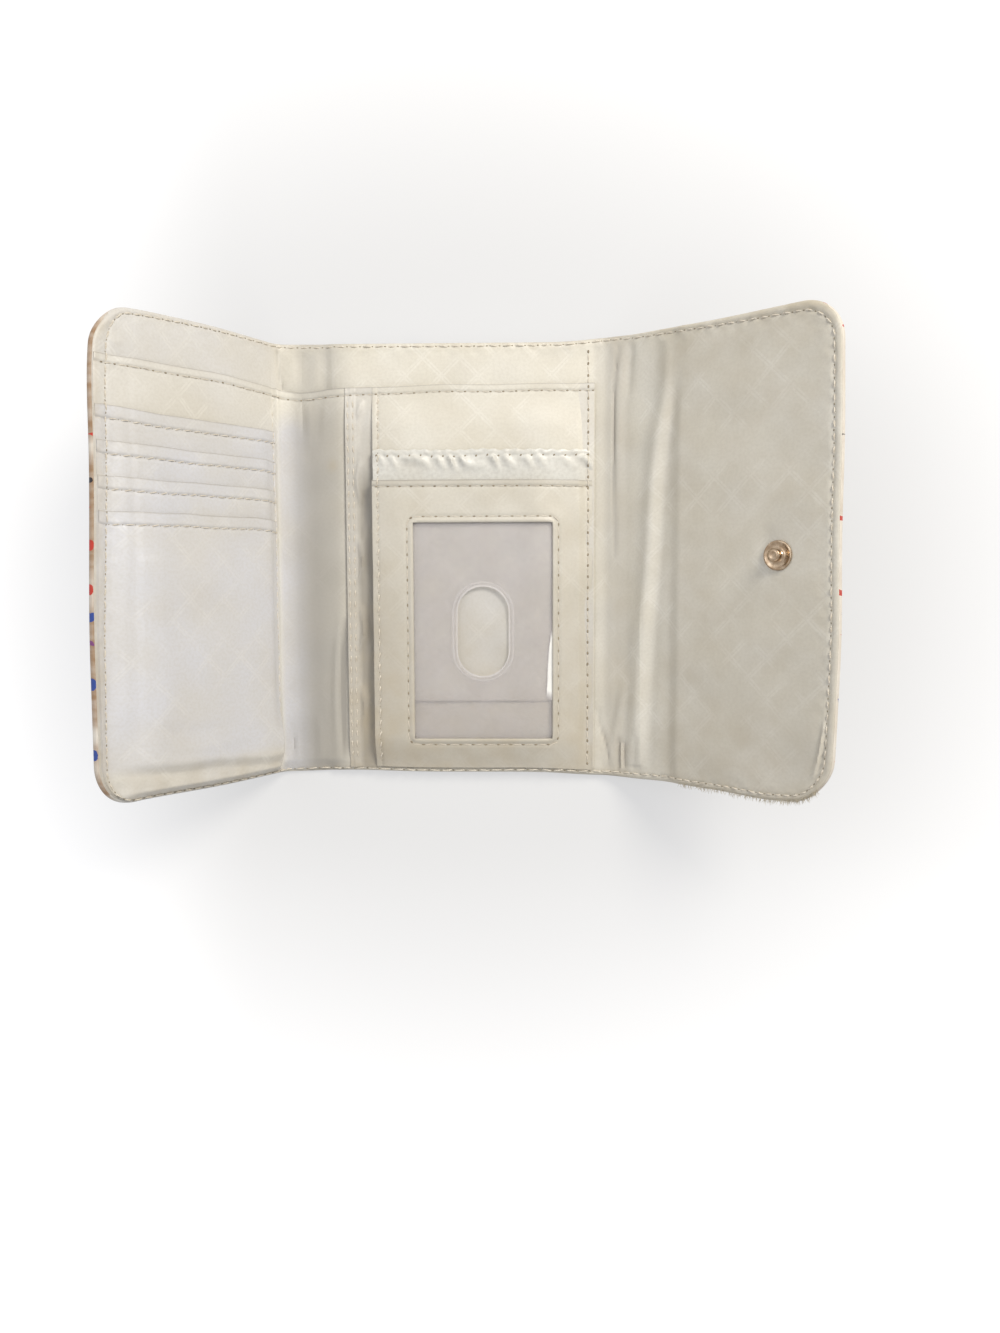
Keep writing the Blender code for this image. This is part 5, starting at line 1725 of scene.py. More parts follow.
class PocketBlock:
    """The centre's pockets: slip panel, back cloth, ribboned card pocket, window film and its frame."""

    def __init__(self, layers: Layers, finishes: Finishes) -> None:
        """Keeps what the pockets are made with."""
        self.layers = layers
        self.finishes = finishes

    def plan(self, start: float, ceiling: float, inset: float, **options) -> Plan:
        """The plan of one layer, from its left edge to the block's right seam."""
        rings = (LIP_RINGS, LIP_RINGS, EDGE_RINGS, LIP_RINGS)
        end = WALLET.block_end - inset
        return Plan(start, end, -WALLET.half + 0.7 * MM + inset, ceiling, rings=rings, **options)

    @staticmethod
    def block_wear(s: Array, v: Array) -> Array:
        """Soiling of the block, most at its lower left and along its left edge; there it is partly painted
        shade.
        """
        corner = 0.34 * smooth(v, 0 * MM, -66 * MM) * (1 - 0.35 * smooth(s, 30 * MM, 80 * MM))
        left = (
            0.12 * smooth(s, WALLET.block_start + 12 * MM, WALLET.block_start)
            * smooth(v, 26 * MM, -10 * MM)
        )
        return np.clip(0.05 + corner + left + 0.05 * waves(s, v, 72, 16 * MM), 0.0, 1.0)

    def block_dullness(self, s: Array, v: Array) -> Array:
        """Painted shade: darker towards the block's lower end, on the slip panel below its lip, in the gap
        beside the block and along its left edge.
        """
        low = 0.06 + 0.14 * smooth(v, 30 * MM, 20 * MM) + 0.20 * smooth(v, 20 * MM, -30 * MM)
        slip = 0.14 + 0.32 * smooth(v, 54 * MM, 30 * MM)
        gap = (
            1.0 * smooth(s, WALLET.slip_start + 2.8 * MM, WALLET.block_start - 2 * MM)
            * smooth(v, 42 * MM, 10 * MM)
        )
        left = 0.10 * smooth(s, WALLET.block_start + 12 * MM, WALLET.block_start + 4 * MM)
        return np.where(s < WALLET.block_start, slip + gap, low + left)

    @staticmethod
    def pocket_dullness(s: Array, v: Array) -> Array:
        """Painted shade on the cloth that lies behind the window, under the frame's lip and towards its
        lower part.
        """
        lower = 0.10 * smooth(v, 6 * MM, -16 * MM)
        return (
            0.22 * smooth(v, WALLET.frame_lip, WALLET.frame_lip - 6 * MM) + lower
            + 0.06 * waves(s, v, 74, 14 * MM)
        )

    def lipped(self, lip: Callable[[Array], Array], row: float) -> Field:
        """The painted shade of a layer with a folded lip."""
        return lambda s, v: self.block_dullness(s, v) + lip_shade(lip(s) - v, row)

    def frame_dullness(self, s: Array, v: Array) -> Array:
        """Painted shade on the frame: along its lip, along the stitching round the window, and the block's.
        """
        around = 0.14 * bump(self.layers.window_distance(s, v), 1.95 * MM, 0.42 * MM)
        below = WALLET.frame_lip - v
        lip = lip_shade(below, self.layers.frame_hem) + 0.16 * smooth(below, 2.6 * MM, 1.6 * MM)
        return self.block_dullness(s, v) + lip + around + 0.05

    def frame_wear(self, s: Array, v: Array) -> Array:
        """Soiling of the frame, yellower than the other layers, with the block's painted shade."""
        return self.block_wear(s, v) + 0.07

    def layer(self, name: str, plan: Plan, top: Field, nodes: Sequence[str], **options) -> Piece:
        """Makes one layer that rides on the centre.

        Args:
            name: The piece's name.
            plan: Its grid.
            top: Its upper face.
            nodes: The CAD nodes that it stands for.
            **options: Fields of the cloth that differ from the usual ones.

        Returns:
            The piece.
        """
        fields = {
            "thickness": lambda s, v: 0.11 * MM + 0.19 * MM * self.layers.block_rise(s, v),
            "material": self.finishes.lining,
            "carry": ride("centre"),
            "wear": self.block_wear,
            "dull": self.block_dullness,
        }
        fields.update(options)
        return Cloth(name=name, plan=plan, top=top, replaces=nodes, **fields).build()

    def build(self) -> list[Piece]:
        """Makes the layers, back to front."""
        layers = self.layers
        lip = WALLET.bill_lip - 0.05 * MM
        shared = {"dull": self.lipped(layers.bill_lip, layers.block_hem), "warp": layers.follow_lip}
        slip = self.layer(
            "slip_panel_cloth",
            self.plan(WALLET.slip_start, lip, 0.6 * MM),
            layers.slip,
            ("slip_pocket_panel",),
            tint=lambda s, v: np.full(np.shape(s), 0.3),
            rests_on=["bill_pocket_card_spine"],
            **shared,
        )
        back = self.layer(
            "block_back_cloth",
            self.plan(WALLET.block_start, lip - 0.05 * MM, 0.8 * MM),
            layers.back,
            ("id_pocket_back",),
            rests_on=["slip_panel_cloth"],
            **shared,
        )
        return [slip, back, *self.ribbon_pocket(), self.film(), self.frame()]

    def ribbon_pocket(self) -> list[Piece]:
        """The pocket behind the window: satin ribbon along its mouth, and cloth below it."""
        start, inset = WALLET.block_start + 0.25 * MM, 1.0 * MM
        join, hem = WALLET.frame_lip - 3 * MM, -45.7 * MM
        ribbon = self.plan(start, WALLET.ribbon_lip, inset, spacing=0.62 * MM)
        ribbon.floor = join
        ribbon.rings = (LIP_RINGS, LIP_RINGS, (0.0,), LIP_RINGS)
        cloth = self.plan(start + 2.2 * MM, join + 1.0 * MM, inset)
        cloth.floor = hem
        cloth.rings = (LIP_RINGS, LIP_RINGS, LIP_RINGS[:9], (0.0,))
        shared = {"rests_on": ["block_back_cloth"]}
        return [
            self.layer(
                "ribbon_pocket_mouth",
                ribbon,
                self.layers.ribbon,
                ("ribbon_card_pocket",),
                warp=self.ruffle,
                material=self.finishes.ribbon,
                slot="ribbon_satin",
                held="gathered",
                dull=None,
                **shared,
            ),
            self.layer(
                "ribbon_pocket_cloth",
                cloth,
                lambda s, v: self.layers.ribbon(s, v) - 0.12 * MM,
                ("ribbon_card_pocket",),
                tint=lambda s, v: np.full(np.shape(s), 0.5),
                dull=lambda s, v: self.pocket_dullness(s, v) + 0.7 * lip_shade(v - hem, 1.1 * MM),
                **shared,
            ),
        ]

    def ruffle(self, s: Array, v: Array) -> Pair:
        """Moves the ribbon's upper rows to its ruffled lip."""
        share = smooth(v, WALLET.ribbon_lip - 4 * MM, WALLET.ribbon_lip - 0.4 * MM)
        return s, v + (self.layers.ribbon_lip(s) - WALLET.ribbon_lip) * share

    def film(self) -> Piece:
        """The clear window film with its thumb hole."""
        overlap = 2.6 * MM
        middle_s = (WALLET.window_left + WALLET.window_right) / 2
        middle_v = (WALLET.window_floor + WALLET.window_ceiling) / 2
        width, height = 16.6 * MM, 29.0 * MM
        radius = width / 2
        reach = height / 2 - radius
        count = 72
        angles = np.linspace(0.0, math.tau, count, endpoint=False)
        half_s = (WALLET.window_right - WALLET.window_left) / 2 + overlap
        half_v = (WALLET.window_ceiling - WALLET.window_floor) / 2 + overlap
        slot_s = middle_s + radius * np.cos(angles)
        slot_v = middle_v + radius * np.sin(angles) + reach * np.sign(np.round(np.sin(angles), 9))
        size = np.maximum(np.abs(np.cos(angles)) / half_s, np.abs(np.sin(angles)) / half_v)
        edge_s = middle_s + np.cos(angles) / size
        edge_v = middle_v + np.sin(angles) / size
        near = [0.0, 0.012, 0.03, 0.045, 0.06, 0.072, 0.084, 0.096, 0.11]
        shares = np.concatenate([near, np.linspace(0.13, 1.0, 44)])
        s = slot_s + shares[:, None] * (edge_s - slot_s)
        v = slot_v + shares[:, None] * (edge_v - slot_v)
        # The heat-cut rim of the thumb hole stands a little proud, and a pressed line runs round it
        rim = 0.10 * MM * (shares < 0.02)[:, None]
        top = self.layers.film(s, v) + rim
        points, faces, plan = ring_shell(s, v, top, top - 0.2 * MM)
        outside = np.hypot(s - middle_s, np.maximum(np.abs(v - middle_v) - reach, 0.0)) - radius
        lines = 0.30 * (shares < 0.02)[:, None] + 0.16 * bump(outside, 1.4 * MM, 0.35 * MM)
        # A white band along the window's right edge, widest at its lower end, is a painted glint of the
        # light on the film's curled edge
        wide = np.interp(
            v, [-44 * MM, -41 * MM, -36 * MM, -28 * MM, -22 * MM],
            [2.3 * MM, 1.6 * MM, 1.5 * MM, 1.1 * MM, 0.0],
        )
        edge = WALLET.window_right - wide
        glint_span = smooth(v, -44.6 * MM, -44 * MM) * smooth(v, -22 * MM, -24 * MM)
        painted_glint = smooth(s, edge - 0.1 * MM, edge + 0.2 * MM) * glint_span
        # The film's wear carries the rim's whitening and the painted glint
        worn = np.tile((lines + 0.85 * painted_glint).ravel(), 2)
        piece = make_mesh("window_film", points, faces, self.finishes.vinyl, plan, {"wear": worn})
        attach(piece, "centre")
        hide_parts("id_window_film")
        LOG.info("window_film: %d faces", len(faces))
        return piece

    def frame(self) -> Piece:
        """The cloth frame round the window."""
        layers = self.layers
        near = [d * MM for d in (0.12, 0.3, 0.6, 0.95, 1.4, 1.95, 2.5, 3.2)]
        sides = (WALLET.window_left, WALLET.window_right), (WALLET.window_floor, WALLET.window_ceiling)
        across, up = (
            [low, high, *(low - d for d in near), *(high + d for d in near)] for low, high in sides
        )
        plan = self.plan(WALLET.block_start + 0.1 * MM, WALLET.frame_lip, 1.2 * MM, lines=(across, up))

        def hole(s: Array, v: Array) -> Array:
            """Above 0 in the window's opening."""
            inside_s = (s > sides[0][0]) & (s < sides[0][1])
            inside_v = (v > sides[1][0]) & (v < sides[1][1])
            return np.where(inside_s & inside_v, 1.0, 0.0)

        def thick(s: Array, v: Array) -> Array:
            """The cloth's thickness, filled down to the back cloth along the left seam."""
            seam = smooth(s, WALLET.block_start + 3.2 * MM, WALLET.block_start + 2.2 * MM)
            level = layers.frame(s, v)
            usual = 0.12 * MM + 0.24 * MM * layers.block_rise(s, v)
            filled = np.maximum(level - layers.back(s, v) - 0.1 * MM, usual)
            return usual + (filled - usual) * seam * smooth(v, -WALLET.half + 3 * MM, -WALLET.half + 8 * MM)

        nodes = ("id_window_frame", "id_pocket_left_seam", "id_pocket_right_seam", "id_pocket_bottom_seam")
        options = {"hole": hole, "thickness": thick, "wear": self.frame_wear, "dull": self.frame_dullness}
        return self.layer(
            "window_frame_cloth", plan, layers.frame, nodes, rests_on=["window_film"], **options
        )


def ring_shell(s: Array, v: Array, top: Array, bottom: Array) -> Shell:
    """A closed thin shell on rings of points round a hole, from the hole outwards.

    Args:
        s: Places along the cloth, ring by ring, each ring anticlockwise.
        v: Places up the cloth.
        top: Heights of the upper face.
        bottom: Heights of the lower face.

    Returns:
        The vertices, the faces and each vertex's place in the plan.
    """
    rings, count = s.shape
    number = np.arange(rings * count).reshape(rings, count)
    after = np.roll(number, -1, axis=1)
    cells = np.stack([number[:-1], number[1:], after[1:], after[:-1]], axis=-1).reshape(-1, 4)
    below = number.size
    hole = np.stack([after[0] + below, number[0] + below, number[0], after[0]], axis=-1)
    rim = np.stack([number[-1] + below, after[-1] + below, after[-1], number[-1]], axis=-1)
    faces = np.concatenate([cells, cells[:, ::-1] + below, hole, rim])
    points = np.concatenate([WALLET.place(s, v, h).reshape(-1, 3) for h in (top, bottom)])
    plan = np.tile(np.stack([s.ravel(), v.ravel()], axis=-1), (2, 1))
    return points, faces, plan


# Sewing


@dataclass(frozen=True)
class Row:
    """A row of stitches along a line on the cloth.

    Args:
        line: Places along and up the cloth that the row passes, in order.
        pitch: Distance between two stitches, or a field of it.
        lean: How far each stitch turns out of the row, in degrees.
        plump: How thick the thread lies, as a share of the usual.
        hole: How large the needle holes' dark marks of painted shade are, as a share of the usual.
    """

    line: Array
    pitch: float | Field = 3.6 * MM
    lean: float = 0.0
    plump: float = 1.0
    hole: float = 1.0

    def marks(self) -> Shell:
        """Finds the needle holes and the stitches between them.

        Returns:
            A place for each, hole and stitch in turn, one just before it, and one just after it.
        """
        middles = (self.line[1:] + self.line[:-1]) / 2
        pitch = self.pitch(middles[:, 0], middles[:, 1]) if callable(self.pitch) else self.pitch
        lengths = np.linalg.norm(np.diff(self.line, axis=0), axis=1)
        run = np.concatenate([[0.0], np.cumsum(lengths / pitch)])
        count = max(1, round(run[-1]))
        run *= count / run[-1]
        at = np.arange(2 * count + 1) / 2

        def found(shift: float) -> Array:
            """The places moved along the row by a share of the pitch."""
            return np.stack([np.interp(at + shift, run, self.line[:, n]) for n in (0, 1)], axis=-1)

        return found(0.0), found(-0.1), found(0.1)


VECTOR, FLAG = "FLOAT_VECTOR", "BOOLEAN"
GIVEN, RESULT = Kind("NodeGroupInput"), Kind("NodeGroupOutput")
ARC = Kind("GeometryNodeCurveQuadraticBezier", ("Resolution", "Start", "Middle", "End"))
CIRCLE = Kind("GeometryNodeCurvePrimitiveCircle", ("Resolution", "Radius"))
SWEEP = Kind("GeometryNodeCurveToMesh", ("Curve", "Profile Curve", "Fill Caps"))
BALL = Kind("GeometryNodeMeshUVSphere", ("Segments", "Rings", "Radius"))
SCALED = Kind("GeometryNodeTransform", ("Geometry", "Scale"))
OF_MARK = Kind("GeometryNodeInputNamedAttribute", ("Name",), "Attribute")
NOT = Kind("FunctionNodeBooleanMath", settings={"operation": "NOT"})
JOIN = Kind("GeometryNodeJoinGeometry")
ON_POINTS = Kind("GeometryNodeInstanceOnPoints", ("Points", "Selection", "Instance", "Rotation", "Scale"))
REALIZED = Kind("GeometryNodeRealizeInstances", ("Geometry",))
SMOOTHED = Kind("GeometryNodeSetShadeSmooth", ("Geometry",))
COLOURED = Kind("GeometryNodeSetMaterial", ("Geometry", "Material"))
UPRIGHT = Kind("FunctionNodeAlignRotationToVector", ("Vector",), settings={"axis": "Z"})
FACING = Kind(
    "FunctionNodeAlignRotationToVector", ("Rotation", "Vector"), settings={"axis": "X", "pivot_axis": "Z"}
)
RANDOM = Kind("FunctionNodeRandomValue", (2, 3, "Seed"), 1, {"data_type": "FLOAT"})
ANGLED = Kind("FunctionNodeAxisAngleToRotation", ("Axis", "Angle"))
ROTATED = Kind(
    "FunctionNodeRotateRotation", ("Rotation", "Rotate By"), settings={"rotation_space": "LOCAL"}
)


@dataclass
class Sewing:
    """The seams' thread and the needle holes' dark marks of painted shade, one piece for each stretch of
    cloth.

    Args:
        layers: The cloth that the stitches lie on.
        finishes: The materials.
        length: Length of a stitch at the usual pitch.
        pitch: The usual pitch.
        thread: Radius of the thread.
        rise: How far a stitch stands above the cloth.
        sink: How far its ends dive below it.
        hole_length: Half length of a needle hole's shadow.
        hole_width: Half width of it.
        hole_depth: Half thickness of it.
        sway: Largest random turn of a stitch, in degrees.
        seed: Fixes the random turns.
    """

    layers: Layers
    finishes: Finishes
    length: float = 2.5 * MM
    pitch: float = 3.6 * MM
    thread: float = 0.20 * MM
    rise: float = 0.20 * MM
    sink: float = 0.26 * MM
    hole_length: float = 0.44 * MM
    hole_width: float = 0.27 * MM
    hole_depth: float = 0.12 * MM
    sway: float = 9.0
    seed: int = 23

    def edge_row(self) -> Row:
        """The closed row round the wallet's edge."""
        radius = WALLET.CORNER_RADIUS
        middle = (WALLET.low_s + WALLET.high_s) / 2
        reach = (WALLET.high_s - WALLET.low_s) / 2 - radius
        rise = WALLET.half - radius
        corners = [(1, 1, 0.0), (-1, 1, 90.0), (-1, -1, 180.0), (1, -1, 270.0)]
        places, inward = [], []
        for side, way, start in corners:
            for angle in np.radians(np.linspace(start, start + 90, 25)):
                normal = np.array([math.cos(angle), math.sin(angle)])
                places.append(np.array([middle + side * reach, way * rise]) + radius * normal)
                inward.append(-normal)
        line, normals = self.closed(np.array(places), np.array(inward), 0.8 * MM)
        found = line.copy()
        for _ in range(4):
            found = line + normals * self.layers.inset(found[:, 0], found[:, 1])[:, None]
        return Row(found, self.edge_pitch, plump=1.1, hole=0.8)

    @staticmethod
    def closed(places: Array, normals: Array, spacing: float) -> Pair:
        """Closes a loop and divides it evenly, together with its normals."""
        both = np.concatenate([places, normals], axis=1)
        both = np.concatenate([both, both[:1]])
        run = np.concatenate([[0.0], np.cumsum(np.linalg.norm(np.diff(both[:, :2], axis=0), axis=1))])
        at = np.linspace(0.0, run[-1], int(run[-1] / spacing))
        even = np.stack([np.interp(at, run, both[:, n]) for n in range(4)], axis=-1)
        return even[:, :2], even[:, 2:]

    @staticmethod
    def edge_pitch(s: Array, v: Array) -> Array:
        """The edge row's pitch: shorter on the flaps, shortest along the snap flap's foot."""
        pitch = levels(
            s, 3.4 * MM, [(WALLET.card_fold, 2 * MM, 4.1 * MM), (WALLET.snap_fold, 8 * MM, 3.5 * MM)]
        )
        foot = smooth(s, WALLET.centre, WALLET.snap_fold) * smooth(v, -50 * MM, -60 * MM)
        return pitch - 0.7 * MM * foot

    def window_row(self) -> Row:
        """The closed row round the window."""
        outside, radius = 1.95 * MM, 2.6 * MM
        sides = (WALLET.window_left - outside, WALLET.window_right + outside)
        ends = (WALLET.window_floor - outside, WALLET.window_ceiling + outside)
        places = []
        for across, up, start in ((1, 1, 0), (0, 1, 90), (0, 0, 180), (1, 0, 270)):
            centre_s = sides[across] - radius * (1 if across else -1)
            centre_v = ends[up] - radius * (1 if up else -1)
            for angle in np.radians(np.linspace(start, start + 90, 9)):
                places.append((centre_s + radius * math.cos(angle), centre_v + radius * math.sin(angle)))
        line, _ = self.closed(np.array(places), np.zeros((len(places), 2)), 0.8 * MM)
        return Row(line, 4.1 * MM, plump=0.65, hole=1.3)

    def rows(self) -> list[Row]:
        """Every row of the wallet."""
        layers = self.layers
        flap = np.linspace(WALLET.low_s + 4.4 * MM, WALLET.card_fold - 1.9 * MM, 90)
        bill = np.linspace(WALLET.low_s + 3.0 * MM, WALLET.block_end - 1.0 * MM, 240)
        block = np.linspace(WALLET.block_start + 1.5 * MM, WALLET.block_end - 2.8 * MM, 90)
        hem = levels(bill, layers.bill_hem, [(9 * MM, 6 * MM, layers.block_hem)])

        def upright(s: float | Callable[[Array], Array], low: float, high: float) -> Array:
            """A line up the wallet between two heights in millimetres."""
            v = np.linspace(high * MM, low * MM, 160)
            return np.stack([s(v) if callable(s) else np.full(len(v), s), v], axis=-1)

        rows = [self.edge_row(), self.window_row()]
        for order in range(1, len(WALLET.card_lips) + 1):
            row = layers.card_lip(order, flap) - layers.hem_width
            rows.append(Row(np.stack([flap, row], axis=-1), 3.4 * MM, lean=10.0, plump=0.8, hole=0.5))
        rows.append(
            Row(np.stack([bill, layers.bill_lip(bill) - hem], axis=-1), 4.1 * MM, plump=0.7, hole=1.0)
        )
        fold = upright(lambda v: WALLET.card_fold - layers.fold_row(v), -64, 49)
        rows.append(Row(fold, 3.4 * MM, plump=0.8, hole=0.55))
        for inside in (0.9 * MM, 2.6 * MM):
            rows.append(Row(upright(WALLET.slip_start + inside, -66, 52), 3.6 * MM, hole=0.0))
        rows.append(
            Row(upright(WALLET.block_start + 1.9 * MM, -66, 53), 3.7 * MM, lean=-14.0, plump=1.2, hole=0.55)
        )
        ribbon = layers.ribbon_lip(block) - 1.9 * MM
        # Along the ribbon's lip only leaning dark marks of painted shade, with no thread
        rows.append(Row(np.stack([block, ribbon], axis=-1), 3.7 * MM, lean=55.0, plump=0.0, hole=1.1))
        frame_row = np.full(len(block), WALLET.frame_lip - layers.frame_hem)
        rows.append(Row(np.stack([block, frame_row], axis=-1), 3.7 * MM, plump=0.5, hole=1.1))
        rows.append(Row(upright(WALLET.block_end - 2.5 * MM, -66, 66), 3.6 * MM, plump=0.7, hole=1.3))
        return rows

    def marks(self) -> dict[str, Array]:
        """Every mark's point, direction, upright, size, lean and kind."""
        found: dict[str, list[Array]] = {
            key: [] for key in ("s", "point", "along", "up", "size", "lean", "hole")
        }
        aside = 0.3 * MM
        for row in self.rows():
            here, before, after = row.marks()
            height = self.layers.skin(here[:, 0], here[:, 1])
            way = after - before
            way /= np.linalg.norm(way, axis=1)[:, None]
            first, last = (
                WALLET.place(p[:, 0], p[:, 1], self.layers.skin(p[:, 0], p[:, 1])) for p in (before, after)
            )
            left = here + aside * np.stack([-way[:, 1], way[:, 0]], axis=-1)
            point = WALLET.place(here[:, 0], here[:, 1], height)
            across = WALLET.place(left[:, 0], left[:, 1], height) - point
            up = np.cross(last - first, across)
            pitch = row.pitch(
                here[:, 0], here[:, 1]
            ) if callable(row.pitch) else np.full(len(here), row.pitch)
            kind = np.arange(len(here)) % 2 == 0
            stitch = np.stack(
                [pitch / self.pitch, np.full(len(here), row.plump), np.full(len(here), row.plump)], axis=-1
            )
            found["s"].append(here[:, 0])
            found["point"].append(point)
            found["along"].append(last - first)
            found["up"].append(up / np.linalg.norm(up, axis=1)[:, None])
            found["size"].append(np.where(kind[:, None], row.hole, stitch))
            found["lean"].append(np.full(len(here), math.radians(row.lean)))
            found["hole"].append(kind)
        joined = {key: np.concatenate(parts) for key, parts in found.items()}
        there = joined["size"][:, 2] > 0
        return {key: values[there] for key, values in joined.items()}

    ARC_STEPS, THREAD_SIDES, HOLE_GRID = 5, 6, (8, 4)

    def sizes(self) -> dict[str, float]:
        """The tree's inputs, by name."""
        return {
            "Stitch Length": self.length,
            "Thread Radius": self.thread,
            "Stitch Rise": self.rise,
            "Stitch Sink": self.sink,
            "Hole Length": self.hole_length,
            "Hole Width": self.hole_width,
            "Hole Depth": self.hole_depth,
            "Sway": math.radians(self.sway),
        }

    def tree(self) -> Tree:
        """Builds the node tree that puts a stitch, or a needle hole's dark mark of painted shade, on every
        mark.
        """
        tree = bpy.data.node_groups.new("stitch_rows", "GeometryNodeTree")
        tree.interface.new_socket("Marks", in_out="INPUT", socket_type="NodeSocketGeometry")
        for name in self.sizes():
            tree.interface.new_socket(name, in_out="INPUT", socket_type="NodeSocketFloat")
        tree.interface.new_socket("Seed", in_out="INPUT", socket_type="NodeSocketInt")
        tree.interface.new_socket("Stitches", in_out="OUTPUT", socket_type="NodeSocketGeometry")
        given = add(tree, GIVEN).node.outputs
        half = add(tree, MULTIPLY, given["Stitch Length"], 0.5)
        low = add(tree, MULTIPLY, given["Stitch Sink"], -1.0)
        peak = add(tree, MULTIPLY_ADD, given["Stitch Rise"], 2.0, given["Stitch Sink"])
        start = add(tree, COMBINE, add(tree, MULTIPLY, half, -1.0), 0.0, low)
        middle = add(tree, COMBINE, 0.0, 0.0, peak)
        arc = add(tree, ARC, self.ARC_STEPS, start, middle, add(tree, COMBINE, half, 0.0, low))
        thread = add(tree, SWEEP, arc, add(tree, CIRCLE, self.THREAD_SIDES, given["Thread Radius"]), True)
        flat = add(tree, COMBINE, given["Hole Length"], given["Hole Width"], given["Hole Depth"])
        hole = add(tree, SCALED, add(tree, BALL, *self.HOLE_GRID, 1.0), flat)
        turn = self.turning(tree, given)
        size, holes = (
            add(tree, OF_MARK, name, data_type=kind) for name, kind in (("size", VECTOR), ("hole", FLAG))
        )
        join = add(tree, JOIN).node
        for chosen, shape, material in (
            (add(tree, NOT, holes), thread, self.finishes.thread),
            (holes, hole, self.finishes.hole),
        ):
            placed = add(tree, ON_POINTS, given["Marks"], chosen, shape, turn, size)
            rounded = add(tree, SMOOTHED, add(tree, REALIZED, placed))
            tree.links.new(add(tree, COLOURED, rounded, material), join.inputs[0])
        add(tree, RESULT, join.outputs[0])
        return tree

    @staticmethod
    def turning(tree: Tree, given: bpy.types.bpy_prop_collection) -> Socket:
        """Each mark's rotation: upright on the cloth, along its row, leaning and swaying."""
        up, along = (add(tree, OF_MARK, name, data_type=VECTOR) for name in ("up", "along"))
        upright = add(tree, UPRIGHT, up)
        facing = add(tree, FACING, upright, along)
        sway = add(tree, RANDOM, add(tree, MULTIPLY, given["Sway"], -1.0), given["Sway"], given["Seed"])
        angle = add(tree, ADD, add(tree, OF_MARK, "lean", data_type="FLOAT"), sway)
        return add(tree, ROTATED, facing, add(tree, ANGLED, (0.0, 0.0, 1.0), angle))

    def build(self) -> list[Piece]:
        """Makes the stitches of each stretch."""
        tree = self.tree()
        marks = self.marks()
        made = []
        for stretch in Stretch:
            low, high = stretch.reach
            inside = (marks["s"] >= low) & (marks["s"] < high)
            made.append(self.piece(stretch, tree, {key: values[inside] for key, values in marks.items()}))
        return made

    def piece(self, stretch: Stretch, tree: Tree, marks: dict[str, Array]) -> Piece:
        """Turns one stretch's marks into a plain mesh of stitches."""
        name = f"stitches_{stretch.value}"
        data = bpy.data.meshes.new(f"{name}_marks")
        data.from_pydata(marks["point"].tolist(), [], [])
        kinds = {"along": VECTOR, "up": VECTOR, "size": VECTOR, "lean": "FLOAT", "hole": FLAG}
        for label, kind in kinds.items():
            attribute = data.attributes.new(label, kind, "POINT")
            place = "vector" if kind == VECTOR else "value"
            attribute.data.foreach_set(place, marks[label].ravel())
        piece = bpy.data.objects.new(name, data)
        bpy.context.scene.collection.objects.link(piece)
        modifier = piece.modifiers.new("stitches", "NODES")
        modifier.node_group = tree
        values = {**self.sizes(), "Seed": self.seed}
        for item in tree.interface.items_tree:
            if item.name in values:
                modifier[item.identifier] = values[item.name]
        graph = bpy.context.evaluated_depsgraph_get()
        mesh = bpy.data.meshes.new_from_object(piece.evaluated_get(graph))
        piece.modifiers.remove(modifier)
        for label in kinds:
            if label in mesh.attributes:
                mesh.attributes.remove(mesh.attributes[label])
        piece.data = mesh
        stretch.carry(piece)
        LOG.info("%s: %d faces", name, len(mesh.polygons))
        return piece


